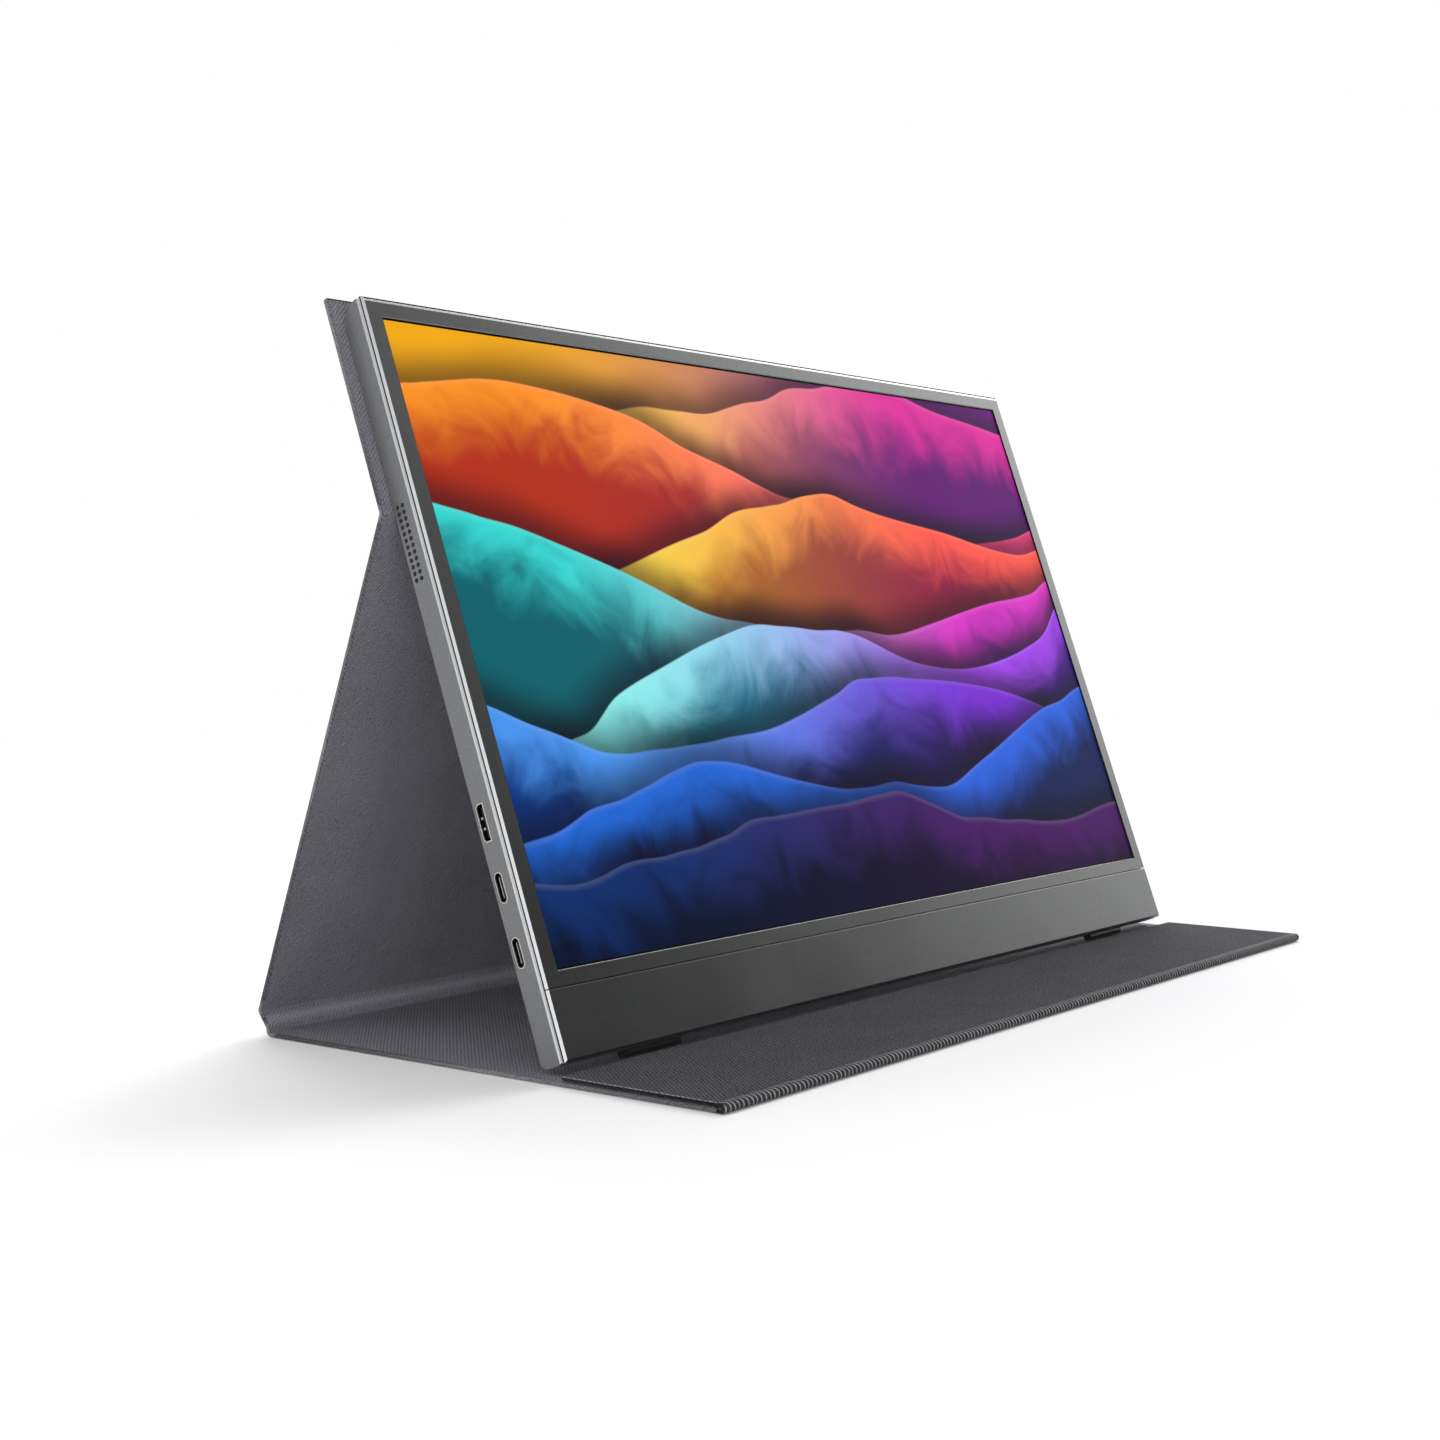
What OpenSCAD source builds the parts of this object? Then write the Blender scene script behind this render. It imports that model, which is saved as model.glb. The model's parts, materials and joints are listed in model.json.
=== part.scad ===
// Portable monitor standing in its fold-out fabric cover.
// The origin is on the desk, under the middle of the stand. +X runs along the screen, +Y to the
// back and +Z up. Inside in_monitor() the axes are X across, Y back from the face and Z up the face.

/* [Stand] */
// Lean of the screen back from upright
tilt = 20; // [12:0.5:26]
// Height of the face's lower edge above the desk
face_rise = 6.2; // [6:0.1:9]
// Distance of the face's lower edge behind the front fold
face_set = 56.2; // [50:0.1:64]
// Distance from the front fold to the fold at the base's rear
base_run = 171.6; // [160:0.1:184]
// Length of the spine between its two folds
spine_len = 7.6; // [7:0.1:9]
// Angle of the spine above the desk
spine_lean = 61.3; // [52:0.1:70]
// Height of the upper fold, measured up the monitor's back
back_fold_v = 162; // [150:0.5:170]

/* [Cover] */
// Width of the cover
cover_w = 366.2; // [361:0.1:376]
// Thickness of one cover panel
panel_t = 1.3; // [1.3:0.05:1.6]
// Thickness of the outer fabric
fabric_t = 0.4; // [0.3:0.05:0.5]
// Thickness of the lining
lining_t = 0.35; // [0.3:0.05:0.4]
// Length of the end flap that lies folded back at the front
flap_len = 54.5; // [44:0.1:54.6]
// Length of the panel that carries the monitor, above the upper fold
back_panel_len = 66.2; // [58:0.1:72]
// Corner radius of the cover's free corners
cover_corner_r = 2.5; // [1:0.1:6]

/* [Monitor] */
// Width of the monitor
monitor_w = 357.5; // [357.5:0.1:360]
// Height of the face, from its lower to its upper edge
face_h = 224.5; // [224.5:0.1:228]
// Depth of the monitor, from the face to the back
monitor_d = 9.65; // [9.65:0.05:11]
// Wall of the rear shell
shell_wall = 0.9; // [0.8:0.05:1]
// Depth of the front bezel and of the chin plate
bezel_d = 1.6; // [1.5:0.05:1.6]
// Bright bevel round the face and round the shell's front edge
edge_bevel = 0.65; // [0.3:0.05:0.8]
// Height of the seam between the chin plate and the bezel
seam_v = 19.6; // [17:0.1:20]

/* [Screen] */
// Width of the lit area
lit_w = 344.16; // [340:0.01:344.5]
// Height of the lit area
lit_h = 193.59; // [190:0.01:194]
// Height of the lit area's lower edge above the face's lower edge
lit_v = 24.9; // [24.6:0.1:25.2]
// Black border that shows round the lit area
black_border = 0.6; // [0.4:0.1:0.8]

/* [Ports and controls] */
// Height of the lower USB-C port's centre
usb_lower_v = 31.7; // [30:0.1:34]
// Height of the upper USB-C port's centre
usb_upper_v = 50.3; // [48:0.1:52]
// Height of the mini HDMI port's centre
hdmi_v = 69; // [68:0.1:72]
// Height of the headphone socket's centre
audio_v = 67; // [66.5:0.1:70]
// Height of the menu dial's axle
dial_v = 36; // [34:0.1:37]
// Height of the power button's centre
power_v = 53; // [52:0.1:55]
// Travel of the power button
power_travel = 0.4; // [0.2:0.05:0.4]
// Travel of the menu dial when it is pushed in
dial_travel = 0.5; // [0.2:0.05:0.5]
// Holes in each row of a speaker grille
grille_holes = 12; // [6:1:12]
// Diameter of a grille hole
grille_hole_d = 1.4; // [1:0.05:1.5]
// Distance between grille holes along a row
grille_pitch = 2; // [1.8:0.1:2]
// Height of the lowest grille holes
grille_v = 140.8; // [140:0.1:142]

/* [Hidden] */
$fn = 48;

// How far a cutting shape runs past the surface that it opens
cut = 0.5;

// Cover: a panel stops short of its fold, and a round strip of fabric lies in the fold.
cover_half = cover_w / 2;
board_t = panel_t - fabric_t - lining_t;
hem_w = 1.2;
fold_r = panel_t / 2 - 0.05;
fold_end = panel_t / 2 + 0.05;
layer_gap = 0.1;
front_fold_r = panel_t;
front_fold_end = front_fold_r + 0.1;
overall_d = front_fold_r + base_run + spine_len * cos(spine_lean) + fold_r;

// Folds, as [Y, Z] in the side view
front_fold = [front_fold_r - overall_d / 2, panel_t + layer_gap / 2];
base_fold = [front_fold.x + base_run, panel_t / 2];
leg_fold = base_fold + spine_len * [cos(spine_lean), sin(spine_lean)];
face_low = [front_fold.x + face_set, face_rise];
back_gap = 0.1;
back_fold_d = monitor_d + back_gap + panel_t / 2;
back_fold = face_low + [
    back_fold_v * sin(tilt) + back_fold_d * cos(tilt),
    back_fold_v * cos(tilt) - back_fold_d * sin(tilt)
];
leg_len = norm(back_fold - leg_fold);
leg_angle = atan2(back_fold.y - leg_fold.y, back_fold.x - leg_fold.x);
magnet_t = board_t - 0.05;

// Monitor outline, in its own axes
half_w = monitor_w / 2;
low_v = -0.9;
high_v = face_h + edge_bevel;
tape_t = 0.2;
rim_d = bezel_d + tape_t;
side_wall = 1.1;
inner_half = half_w - side_wall;
inner_low_v = low_v + side_wall;
inner_high_v = high_v - side_wall;
inner_d = monitor_d - shell_wall;
ledge_d = 3;
ledge_w = 1.85;
ledge_half = half_w - ledge_w;
mouth_low_v = inner_low_v + 1;
mouth_high_v = high_v - ledge_w;
seam_gap = 0.3;
top_back_r = 7;
low_back_r = 2.6;
low_front_r = 1.6;

// Screen opening and the stack behind it
open_half = lit_w / 2 + black_border;
open_low = lit_v - black_border;
open_high = lit_v + lit_h + black_border;
glass_half = open_half + 1.85;
glass_low = open_low - 2.3;
glass_high = open_high + 1.8;
glass_front = 0.5;
glass_back = 1.9;
film_back = 2.3;
guide_back = 3.3;
reflector_back = 3.45;
tray_back = 3.8;
tray_wall = 0.4;

// Boards
board_front = 4.6;
board_back = 5.4;
board_left = -inner_half + 0.4;
board_right = -95;
board_low = 22;
board_high = 92;
board_holes = [[-165, 86], [-165, 27], [-101, 86], [-101, 29]];
ear_x = inner_half - 1.6;
ear_v = [100, 190];
ear_half = 4;
small_board_front = 3.9;
small_board_back = 4.5;
small_board_left = 158;
small_board_right = inner_half - 0.85;
small_board_low = 24;
small_board_high = 62.6;

// Ports
usb_w = 9;
usb_h = 3.2;
usb_d = 7;
usb_len = 7.6;
hdmi_w = 11.2;
hdmi_h = 3.2;
hdmi_d = 7.1;
hdmi_len = 8;
port_recess = 0.12;
port_gap = 0.1;
port_back_wall = 0.8;
tongue_set = 1;
audio_d = 6.2;
audio_hole_r = 1.8;
audio_nose_r = 2.35;
audio_len = 12.6;
grille_rows_d = [5.7, 7.8];

// Controls on the right side
control_d = 6.6;
control_gap = 0.15;
dial_r = 6.5;
dial_t = 2.5;
dial_x = half_w + 1.1 - dial_r;
dial_slot_half = 5.2;
axle_r = 1;
axle_gap = 0.05;
power_w = 8;
power_h = 2.4;
power_proud = 0.5;
switch_back = 8.2;

// Helpers

// A box between two corners
module block(low, high) {
    translate(low)
        cube(high - low);
}

// Puts children into the monitor's own axes
module in_monitor() {
    translate([0, face_low.x, face_low.y])
        rotate([-tilt, 0, 0])
            children();
}

// A cylinder along X from one place to another
module rod_x(x0, x1, d, v, r) {
    translate([x0, d, v])
        rotate([0, 90, 0])
            cylinder(h = x1 - x0, r = r);
}

// A cylinder along the monitor's depth
module rod_d(x, d0, d1, v, r) {
    translate([x, d0, v])
        rotate([-90, 0, 0])
            cylinder(h = d1 - d0, r = r);
}

// A rod of stadium section along X, long in height
module stadium_x(x0, x1, d, v, long, short) {
    r = short / 2;
    reach = long / 2 - r;
    block([x0, d - r, v - reach], [x1, d + r, v + reach]);
    for (side = [-1, 1])
        rod_x(x0, x1, d, v + side * reach, r);
}

// What is left of a corner outside its fillet, as a bar along X. turn is 0 for the corner at
// high depth and high height, and 90, 180 or 270 for the next ones round.
module fillet_bar(half, d, v, r, turn) {
    translate([-half, d, v])
        rotate([turn, 0, 0])
            difference() {
                cube([2 * half, r + cut, r + cut]);
                translate([-cut, 0, 0])
                    rotate([0, 90, 0])
                        cylinder(h = 2 * half + 2 * cut, r = r, $fn = 96);
            }
}

// A triangular bar that bevels a side edge; the section is drawn in X and depth
module side_bevel(side, d, size, v0, v1) {
    translate([side * half_w, d, v0])
        linear_extrude(height = v1 - v0)
            polygon([
                [side * cut, -cut],
                [-side * (size + cut), -cut],
                [side * cut, size + cut]
            ]);
}

// A triangular bar that bevels an edge that runs along X; the section is in depth and height
module long_bevel(d, v, side, size, half) {
    translate([-half, d, v])
        rotate([90, 0, 90])
            linear_extrude(height = 2 * half)
                polygon([
                    [-cut, side * cut],
                    [-cut, -side * (size + cut)],
                    [size + cut, side * cut]
                ]);
}

// Cover panels

// Puts a panel's own axes at a fold: Y along the panel and Z out of its fabric side
module at_fold(fold, angle, outer) {
    translate([0, fold.x, fold.y])
        rotate([angle, 0, 0])
            mirror([0, 0, outer > 0 ? 0 : 1])
                children();
}

// Cuts the two corners at a panel's far end round
module round_far_corners(end) {
    r = cover_corner_r;
    for (side = [-1, 1])
        translate([side * (cover_half - r), end - r, -panel_t])
            difference() {
                translate([side > 0 ? 0 : -r - cut, 0, 0])
                    cube([r + cut, r + cut, 2 * panel_t]);
                translate([0, 0, -cut])
                    cylinder(h = 2 * panel_t + 2 * cut, r = r);
            }
}

// The outer fabric, turned round the edges of the board; its open side takes board and lining
module panel_fabric(start, end, free_end) {
    difference() {
        translate([-cover_half, start, -panel_t / 2])
            cube([cover_w, end - start, panel_t]);
        translate([-cover_half + hem_w, start + hem_w, -panel_t / 2 - cut])
            cube([cover_w - 2 * hem_w, end - start - 2 * hem_w, panel_t - fabric_t + cut]);
        if (free_end)
            round_far_corners(end);
    }
}

// The stiff board inside the fabric
module panel_board(start, end) {
    translate([-cover_half + hem_w, start + hem_w, -panel_t / 2 + lining_t])
        cube([cover_w - 2 * hem_w, end - start - 2 * hem_w, board_t]);
}

// The lining that closes the inner side
module panel_lining(start, end) {
    translate([-cover_half + hem_w, start + hem_w, -panel_t / 2])
        cube([cover_w - 2 * hem_w, end - start - 2 * hem_w, lining_t]);
}

// The fabric that lies in a fold
module fold_strip(fold, r) {
    rod_x(-cover_half, cover_half, fold.x, fold.y, r);
}

// Flat magnets sunk into a board at the given places
module magnet_row(places, along, size) {
    for (x = places)
        translate([x - size.x / 2, along, -panel_t / 2 + lining_t])
            cube([size.x, size.y, magnet_t]);
}

base_frame = [front_fold.x, panel_t / 2];
base_end = base_run - fold_end;
spine_end = spine_len - fold_end;
leg_end = leg_len - fold_end;
flap_frame = [front_fold.x, front_fold.y + (panel_t + layer_gap) / 2];
magnet_size = [30, 8];
cover_magnet_x = [-140, -60, 60, 140];
cover_magnet_y = [12, 46];
flap_magnet_x = [-120, 120];
flap_magnet_y = 40;

module in_base() {
    at_fold(base_frame, 0, -1)
        children();
}

module in_flap() {
    at_fold(flap_frame, 0, 1)
        children();
}

module in_spine() {
    at_fold(base_fold, spine_lean, -1)
        children();
}

module in_leg() {
    at_fold(leg_fold, leg_angle, -1)
        children();
}

module in_back_panel() {
    at_fold(back_fold, 90 - tilt, -1)
        children();
}

module base_fabric() {
    color("#4f4e54")
        in_base()
            panel_fabric(front_fold_end, base_end, false);
}

module base_board() {
    color("#8d7b62")
        in_base()
            panel_board(front_fold_end, base_end);
}

module base_lining() {
    color("#5b5a60")
        in_base()
            panel_lining(front_fold_end, base_end);
}

module base_fold_strip() {
    color("#4a4950")
        fold_strip(base_fold, fold_r);
}

module front_fold_strip() {
    color("#4a4950")
        fold_strip(front_fold, front_fold_r);
}

module flap_fabric() {
    color("#4f4e54")
        in_flap()
            panel_fabric(front_fold_end, flap_len, true);
}

module flap_board() {
    color("#8d7b62")
        in_flap()
            difference() {
                panel_board(front_fold_end, flap_len);
                magnet_row(flap_magnet_x, flap_magnet_y, magnet_size);
            }
}

module flap_lining() {
    color("#5b5a60")
        in_flap()
            panel_lining(front_fold_end, flap_len);
}

module closing_magnets() {
    color("#9a9ca0")
        in_flap()
            magnet_row(flap_magnet_x, flap_magnet_y, magnet_size);
}

module spine_fabric() {
    color("#4f4e54")
        in_spine()
            panel_fabric(fold_end, spine_end, false);
}

module spine_board() {
    color("#8d7b62")
        in_spine()
            panel_board(fold_end, spine_end);
}

module spine_lining() {
    color("#5b5a60")
        in_spine()
            panel_lining(fold_end, spine_end);
}

module leg_fabric() {
    color("#4f4e54")
        in_leg()
            panel_fabric(fold_end, leg_end, false);
}

module leg_board() {
    color("#8d7b62")
        in_leg()
            panel_board(fold_end, leg_end);
}

module leg_lining() {
    color("#5b5a60")
        in_leg()
            panel_lining(fold_end, leg_end);
}

module leg_fold_strip() {
    color("#4a4950")
        fold_strip(leg_fold, fold_r);
}

module back_fold_strip() {
    color("#4a4950")
        fold_strip(back_fold, fold_r);
}

module back_panel_fabric() {
    color("#4f4e54")
        in_back_panel()
            panel_fabric(fold_end, back_panel_len, true);
}

module back_panel_board() {
    color("#8d7b62")
        in_back_panel()
            difference() {
                panel_board(fold_end, back_panel_len);
                for (y = cover_magnet_y)
                    magnet_row(cover_magnet_x, y, magnet_size);
            }
}

module back_panel_lining() {
    color("#5b5a60")
        in_back_panel()
            panel_lining(fold_end, back_panel_len);
}

module cover_magnets() {
    color("#9a9ca0")
        in_back_panel()
            for (y = cover_magnet_y)
                magnet_row(cover_magnet_x, y, magnet_size);
}

// Monitor casing

shell_fillets = [
    // depth side, height side, radius, turn
    [1, 1, top_back_r, 0],
    [-1, -1, low_front_r, 180],
    [1, -1, low_back_r, 270]
];
shell_back_bevel = 0.3;

// The shell as a solid block with its round edges
module shell_outside() {
    difference() {
        block([-half_w, rim_d, low_v], [half_w, monitor_d, high_v]);
        for (f = shell_fillets)
            fillet_bar(
                half_w + cut,
                (f[0] > 0 ? monitor_d : rim_d) - f[0] * f[2],
                (f[1] > 0 ? high_v : low_v) - f[1] * f[2],
                f[2],
                f[3]
            );
        for (side = [-1, 1]) {
            side_bevel(side, rim_d, edge_bevel, low_v - cut, high_v + cut);
            translate([0, 2 * monitor_d, 0])
                mirror([0, 1, 0])
                    side_bevel(side, monitor_d, shell_back_bevel, low_v - cut, high_v + cut);
        }
        long_bevel(rim_d, high_v, 1, edge_bevel, half_w + cut);
    }
}

// The room inside the shell, and its mouth behind the bezel
module shell_inside() {
    top_r = top_back_r - side_wall;
    low_r = low_back_r - side_wall;
    difference() {
        block([-inner_half, ledge_d, inner_low_v], [inner_half, inner_d, inner_high_v]);
        fillet_bar(inner_half + cut, inner_d - top_r, inner_high_v - top_r, top_r, 0);
        fillet_bar(inner_half + cut, inner_d - low_r, inner_low_v + low_r, low_r, 270);
    }
    block([-ledge_half, rim_d - cut, mouth_low_v], [ledge_half, ledge_d + cut, mouth_high_v]);
}

// Posts that carry the boards and the screen's tray
module shell_posts() {
    board_post_r = 2.2;
    ear_post_r = 1.8;
    post_end = inner_d + cut / 2;
    for (p = board_holes)
        rod_d(p.x, board_back, post_end, p.y, board_post_r);
    for (side = [-1, 1], v = ear_v)
        rod_d(side * ear_x, tray_back, post_end, v, ear_post_r);
}

module shell_post_holes() {
    board_hole_r = 0.85;
    ear_hole_r = 0.65;
    hole_end = inner_d - 0.6;
    for (p = board_holes)
        rod_d(p.x, board_back - cut, hole_end, p.y, board_hole_r);
    for (side = [-1, 1], v = ear_v)
        rod_d(side * ear_x, tray_back - cut, hole_end, v, ear_hole_r);
}

// Rows of round holes through one side wall
module grille(side) {
    for (d = grille_rows_d, i = [0 : grille_holes - 1])
        rod_x(
            side > 0 ? inner_half - cut : -half_w - cut,
            side > 0 ? half_w + cut : -inner_half + cut,
            d,
            grille_v + i * grille_pitch,
            grille_hole_d / 2
        );
}

// Outline of the mini HDMI port: two corners bevelled on the side of the back
module hdmi_section(w, h, bevel) {
    polygon([
        [-h / 2, -w / 2],
        [h / 2 - bevel, -w / 2],
        [h / 2, -w / 2 + bevel],
        [h / 2, w / 2 - bevel],
        [h / 2 - bevel, w / 2],
        [-h / 2, w / 2]
    ]);
}

module hdmi_bar(x0, x1, w, h, bevel) {
    translate([x0, hdmi_d, hdmi_v])
        rotate([90, 0, 90])
            linear_extrude(height = x1 - x0)
                hdmi_section(w, h, bevel);
}

module shell_openings() {
    left_out = -half_w - cut;
    left_in = -inner_half + cut;
    right_in = inner_half - cut;
    right_out = half_w + cut;
    dial_slot_d = dial_t / 2 + 0.2;
    for (v = [usb_lower_v, usb_upper_v])
        stadium_x(left_out, left_in, usb_d, v, usb_w + 2 * port_gap, usb_h + 2 * port_gap);
    hdmi_bar(left_out, left_in, hdmi_w + 2 * port_gap, hdmi_h + 2 * port_gap, 1);
    for (side = [-1, 1])
        grille(side);
    rod_x(right_in, right_out, audio_d, audio_v, audio_nose_r + port_gap);
    stadium_x(
        right_in, right_out, control_d, power_v,
        power_w + 2 * control_gap, power_h + 2 * control_gap
    );
    block(
        [right_in, control_d - dial_slot_d, dial_v - dial_slot_half],
        [right_out, control_d + dial_slot_d, dial_v + dial_slot_half]
    );
}

module rear_shell() {
    color("#66676a")
        in_monitor()
            difference() {
                union() {
                    difference() {
                        shell_outside();
                        shell_inside();
                    }
                    shell_posts();
                }
                shell_post_holes();
                shell_openings();
            }
}

// Bevels down both sides of the face, between two heights
module face_bevels(v0, v1) {
    for (side = [-1, 1])
        side_bevel(side, 0, edge_bevel, v0 - cut, v1 + cut);
}

module front_bezel() {
    lip = 0.25;
    glass_gap = 0.3;
    color("#5a5b5e")
        in_monitor()
            difference() {
                block([-half_w, 0, seam_v + seam_gap / 2], [half_w, bezel_d, high_v]);
                face_bevels(seam_v, high_v);
                long_bevel(0, high_v, 1, edge_bevel, half_w + cut);
                block([-open_half, -cut, open_low], [open_half, bezel_d, open_high]);
                block(
                    [-glass_half - glass_gap, glass_front, glass_low - glass_gap],
                    [glass_half + glass_gap, bezel_d + cut, glass_high + glass_gap]
                );
                long_bevel(0, open_low, 1, lip, open_half);
                long_bevel(0, open_high, -1, lip, open_half);
                for (side = [-1, 1])
                    translate([side * (open_half - half_w), 0, 0])
                        side_bevel(side * -1, 0, lip, open_low, open_high);
            }
}

module chin_plate() {
    plate_t = 0.8;
    rim_side = 3;
    rim_v = 2;
    color("#5a5b5e")
        in_monitor()
            difference() {
                block([-half_w, 0, -edge_bevel], [half_w, bezel_d, seam_v - seam_gap / 2]);
                face_bevels(-edge_bevel, seam_v);
                long_bevel(0, -edge_bevel, -1, edge_bevel, half_w + cut);
                block(
                    [-half_w + rim_side, plate_t, rim_v],
                    [half_w - rim_side, bezel_d + cut, seam_v - rim_v]
                );
            }
}

// Black tape that holds the bezel and the chin plate on the shell
module bezel_tape() {
    edge_set = 0.85;
    clear = 0.1;
    outer = half_w - edge_set;
    inner = ledge_half + clear;
    color("#141414")
        in_monitor()
            difference() {
                block([-outer, bezel_d, edge_set], [outer, rim_d, high_v - edge_set]);
                block(
                    [-inner, bezel_d - cut, mouth_low_v + 2 * clear],
                    [inner, rim_d + cut, mouth_high_v + clear]
                );
            }
}

// Two rubber bars under the shell, cut flat where they are stuck on
module rubber_feet() {
    foot_len = 25;
    foot_r = 1.6;
    foot_x = 138;
    foot_d = 5.2;
    foot_drop = 0.5;
    color("#1c1c1e")
        in_monitor()
            for (side = [-1, 1])
                difference() {
                    rod_x(
                        side * foot_x - foot_len / 2, side * foot_x + foot_len / 2,
                        foot_d, low_v - foot_drop, foot_r
                    );
                    block(
                        [side * foot_x - foot_len, foot_d - 2 * foot_r, low_v],
                        [side * foot_x + foot_len, foot_d + 2 * foot_r, low_v + 2 * foot_r]
                    );
                }
}

// Screen stack

module lcd_glass() {
    color("#3b5f9a")
        in_monitor()
            block([-glass_half, glass_front, glass_low], [glass_half, glass_back, glass_high]);
}

module diffuser_films() {
    set_in = 0.5;
    color("#e8eaee")
        in_monitor()
            block(
                [-glass_half + set_in, glass_back, glass_low + set_in],
                [glass_half - set_in, film_back, glass_high - set_in]
            );
}

// Room for the row of lamps below the light guide
guide_set = 1;
lamp_room = 2;

module light_guide() {
    color("#cfe3ee")
        in_monitor()
            block(
                [-glass_half + guide_set, film_back, glass_low + lamp_room],
                [glass_half - guide_set, guide_back, glass_high - guide_set]
            );
}

module led_bar() {
    led_pitch = 12;
    led_size = [4, 0.7, 0.5];
    end_room = 8;
    strip_low = glass_low + 0.6;
    strip_high = glass_low + 1.4;
    strip_front = film_back + 0.05;
    led_front = film_back + 0.2;
    color("#e9d98a")
        in_monitor() {
            block(
                [-glass_half + guide_set, strip_front, strip_low],
                [glass_half - guide_set, guide_back, strip_high]
            );
            for (x = [-glass_half + end_room : led_pitch : glass_half - end_room])
                block([x, led_front, strip_high], [x, led_front, strip_high] + led_size);
        }
}

module reflector_sheet() {
    set_in = 0.6;
    color("#f4f4f2")
        in_monitor()
            block(
                [-glass_half + set_in, guide_back, glass_low + set_in],
                [glass_half - set_in, reflector_back, glass_high - set_in]
            );
}

// Steel tray with two ears on each side that are screwed to the shell
module backlight_tray() {
    ear_root = glass_half - 1;
    ear_end = inner_half - 0.35;
    ear_hole_r = 0.75;
    color("#a7a9ab")
        in_monitor()
            difference() {
                union() {
                    block([-glass_half, glass_back, glass_low], [glass_half, tray_back, glass_high]);
                    for (side = [-1, 1], v = ear_v)
                        block(
                            [side > 0 ? ear_root : -ear_end, reflector_back, v - ear_half],
                            [side > 0 ? ear_end : -ear_root, tray_back, v + ear_half]
                        );
                }
                block(
                    [-glass_half + tray_wall, glass_back - cut, glass_low + tray_wall],
                    [glass_half - tray_wall, reflector_back, glass_high - tray_wall]
                );
                for (side = [-1, 1], v = ear_v)
                    rod_d(side * ear_x, reflector_back - cut, tray_back + cut, v, ear_hole_r);
            }
}

// Boards and cables

driver_left = -100;
driver_right = 50;
driver_low = 4;
driver_high = 18.5;
driver_front = 2.2;
driver_back = 3;

// Flex tails that join the glass to its driver board
module lcd_flex_tails() {
    tail_x = [-75, -25, 25];
    tail_half = 12;
    tail_t = 0.15;
    tail_low = 13;
    color("#c98b3a")
        in_monitor()
            for (x = tail_x)
                block(
                    [x - tail_half, driver_front - tail_t, tail_low],
                    [x + tail_half, driver_front, glass_low]
                );
}

module panel_driver_board() {
    chip_left = -30;
    chip_low = 7;
    chip_size = [10, 0.7, 10];
    chip_corner = [chip_left, driver_back, chip_low];
    color("#1f5a3a")
        in_monitor() {
            block([driver_left, driver_front, driver_low], [driver_right, driver_back, driver_high]);
            block(chip_corner, chip_corner + chip_size);
        }
}

module main_board() {
    hole_r = 1.1;
    color("#1f5a3a")
        in_monitor()
            difference() {
                block([board_left, board_front, board_low], [board_right, board_back, board_high]);
                for (p = board_holes)
                    rod_d(p.x, board_front - cut, board_back + cut, p.y, hole_r);
            }
}

chip_x = -130;
chip_v = 55;
chip_half = 7;
chip_t = 1.1;

module scaler_chip() {
    color("#26272a")
        in_monitor()
            block(
                [chip_x - chip_half, board_back, chip_v - chip_half],
                [chip_x + chip_half, board_back + chip_t, chip_v + chip_half]
            );
}

module thermal_pad() {
    color("#8fa3b8")
        in_monitor()
            block(
                [chip_x - chip_half, board_back + chip_t, chip_v - chip_half],
                [chip_x + chip_half, inner_d, chip_v + chip_half]
            );
}

// Like parts in a row on the back of the main board: first corner, step, count and size
component_rows = [
    // coils
    [[-158, 78], [12, 0], 4, [6, 2.2, 6]],
    // capacitors
    [[-117, 34], [0, 9], 5, [5, 0.9, 5]],
    // power chips
    [[-154, 40], [0, 22], 2, [8, 1, 8]]
];

module board_components() {
    color("#3a3b3f")
        in_monitor()
            for (row = component_rows, i = [0 : row[2] - 1]) {
                corner = [row[0].x + i * row[1].x, board_back, row[0].y + i * row[1].y];
                block(corner, corner + row[3]);
            }
}

// Flat cable from the main board down to the panel's driver board
module display_cable() {
    left = -150;
    right = -134;
    plug_right = -92;
    plug_w = 6;
    front = 3.9;
    back = 4.1;
    low = 8;
    high = 32;
    tab = 5;
    branch_h = 4;
    branch_front = back - 0.7;
    color("#2b2b2d")
        in_monitor() {
            block([left, front, low], [right, back, high]);
            block([left, back, high - tab], [right, board_front, high]);
            block([left, branch_front, low], [plug_right, front, low + branch_h]);
            block([plug_right - plug_w, driver_back, low], [plug_right, branch_front, low + branch_h]);
        }
}

// Flat cable from the main board, under the panel, to the controls' board
module button_flex() {
    front = 4.25;
    back = 4.4;
    left = -124;
    right = 166;
    low = 6;
    strip_w = 1.5;
    tail_w = 6;
    tab_low = 25;
    tab_high = 30;
    color("#c98b3a")
        in_monitor() {
            block([left, front, low], [right, back, low + strip_w]);
            block([left, front, low + strip_w], [left + tail_w, back, tab_high]);
            block([left, back, tab_low], [left + tail_w, board_front, tab_high]);
            block([right - tail_w, front, low + strip_w], [right, back, small_board_low - 0.2]);
        }
}

// Speakers behind the grilles

speaker_low = grille_v - 3.8;
speaker_high = grille_v + 25.7;

module speaker_leads() {
    lead_w = 2;
    left_lead_x = -163;
    right_lead_x = 159;
    lead_high = speaker_low - 0.2;
    color("#7a1f1f")
        in_monitor() {
            block([left_lead_x, board_front, board_high], [left_lead_x + lead_w, board_back, lead_high]);
            block(
                [right_lead_x, small_board_front, small_board_high + 0.2],
                [right_lead_x + lead_w, small_board_back, lead_high]
            );
        }
}

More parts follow.
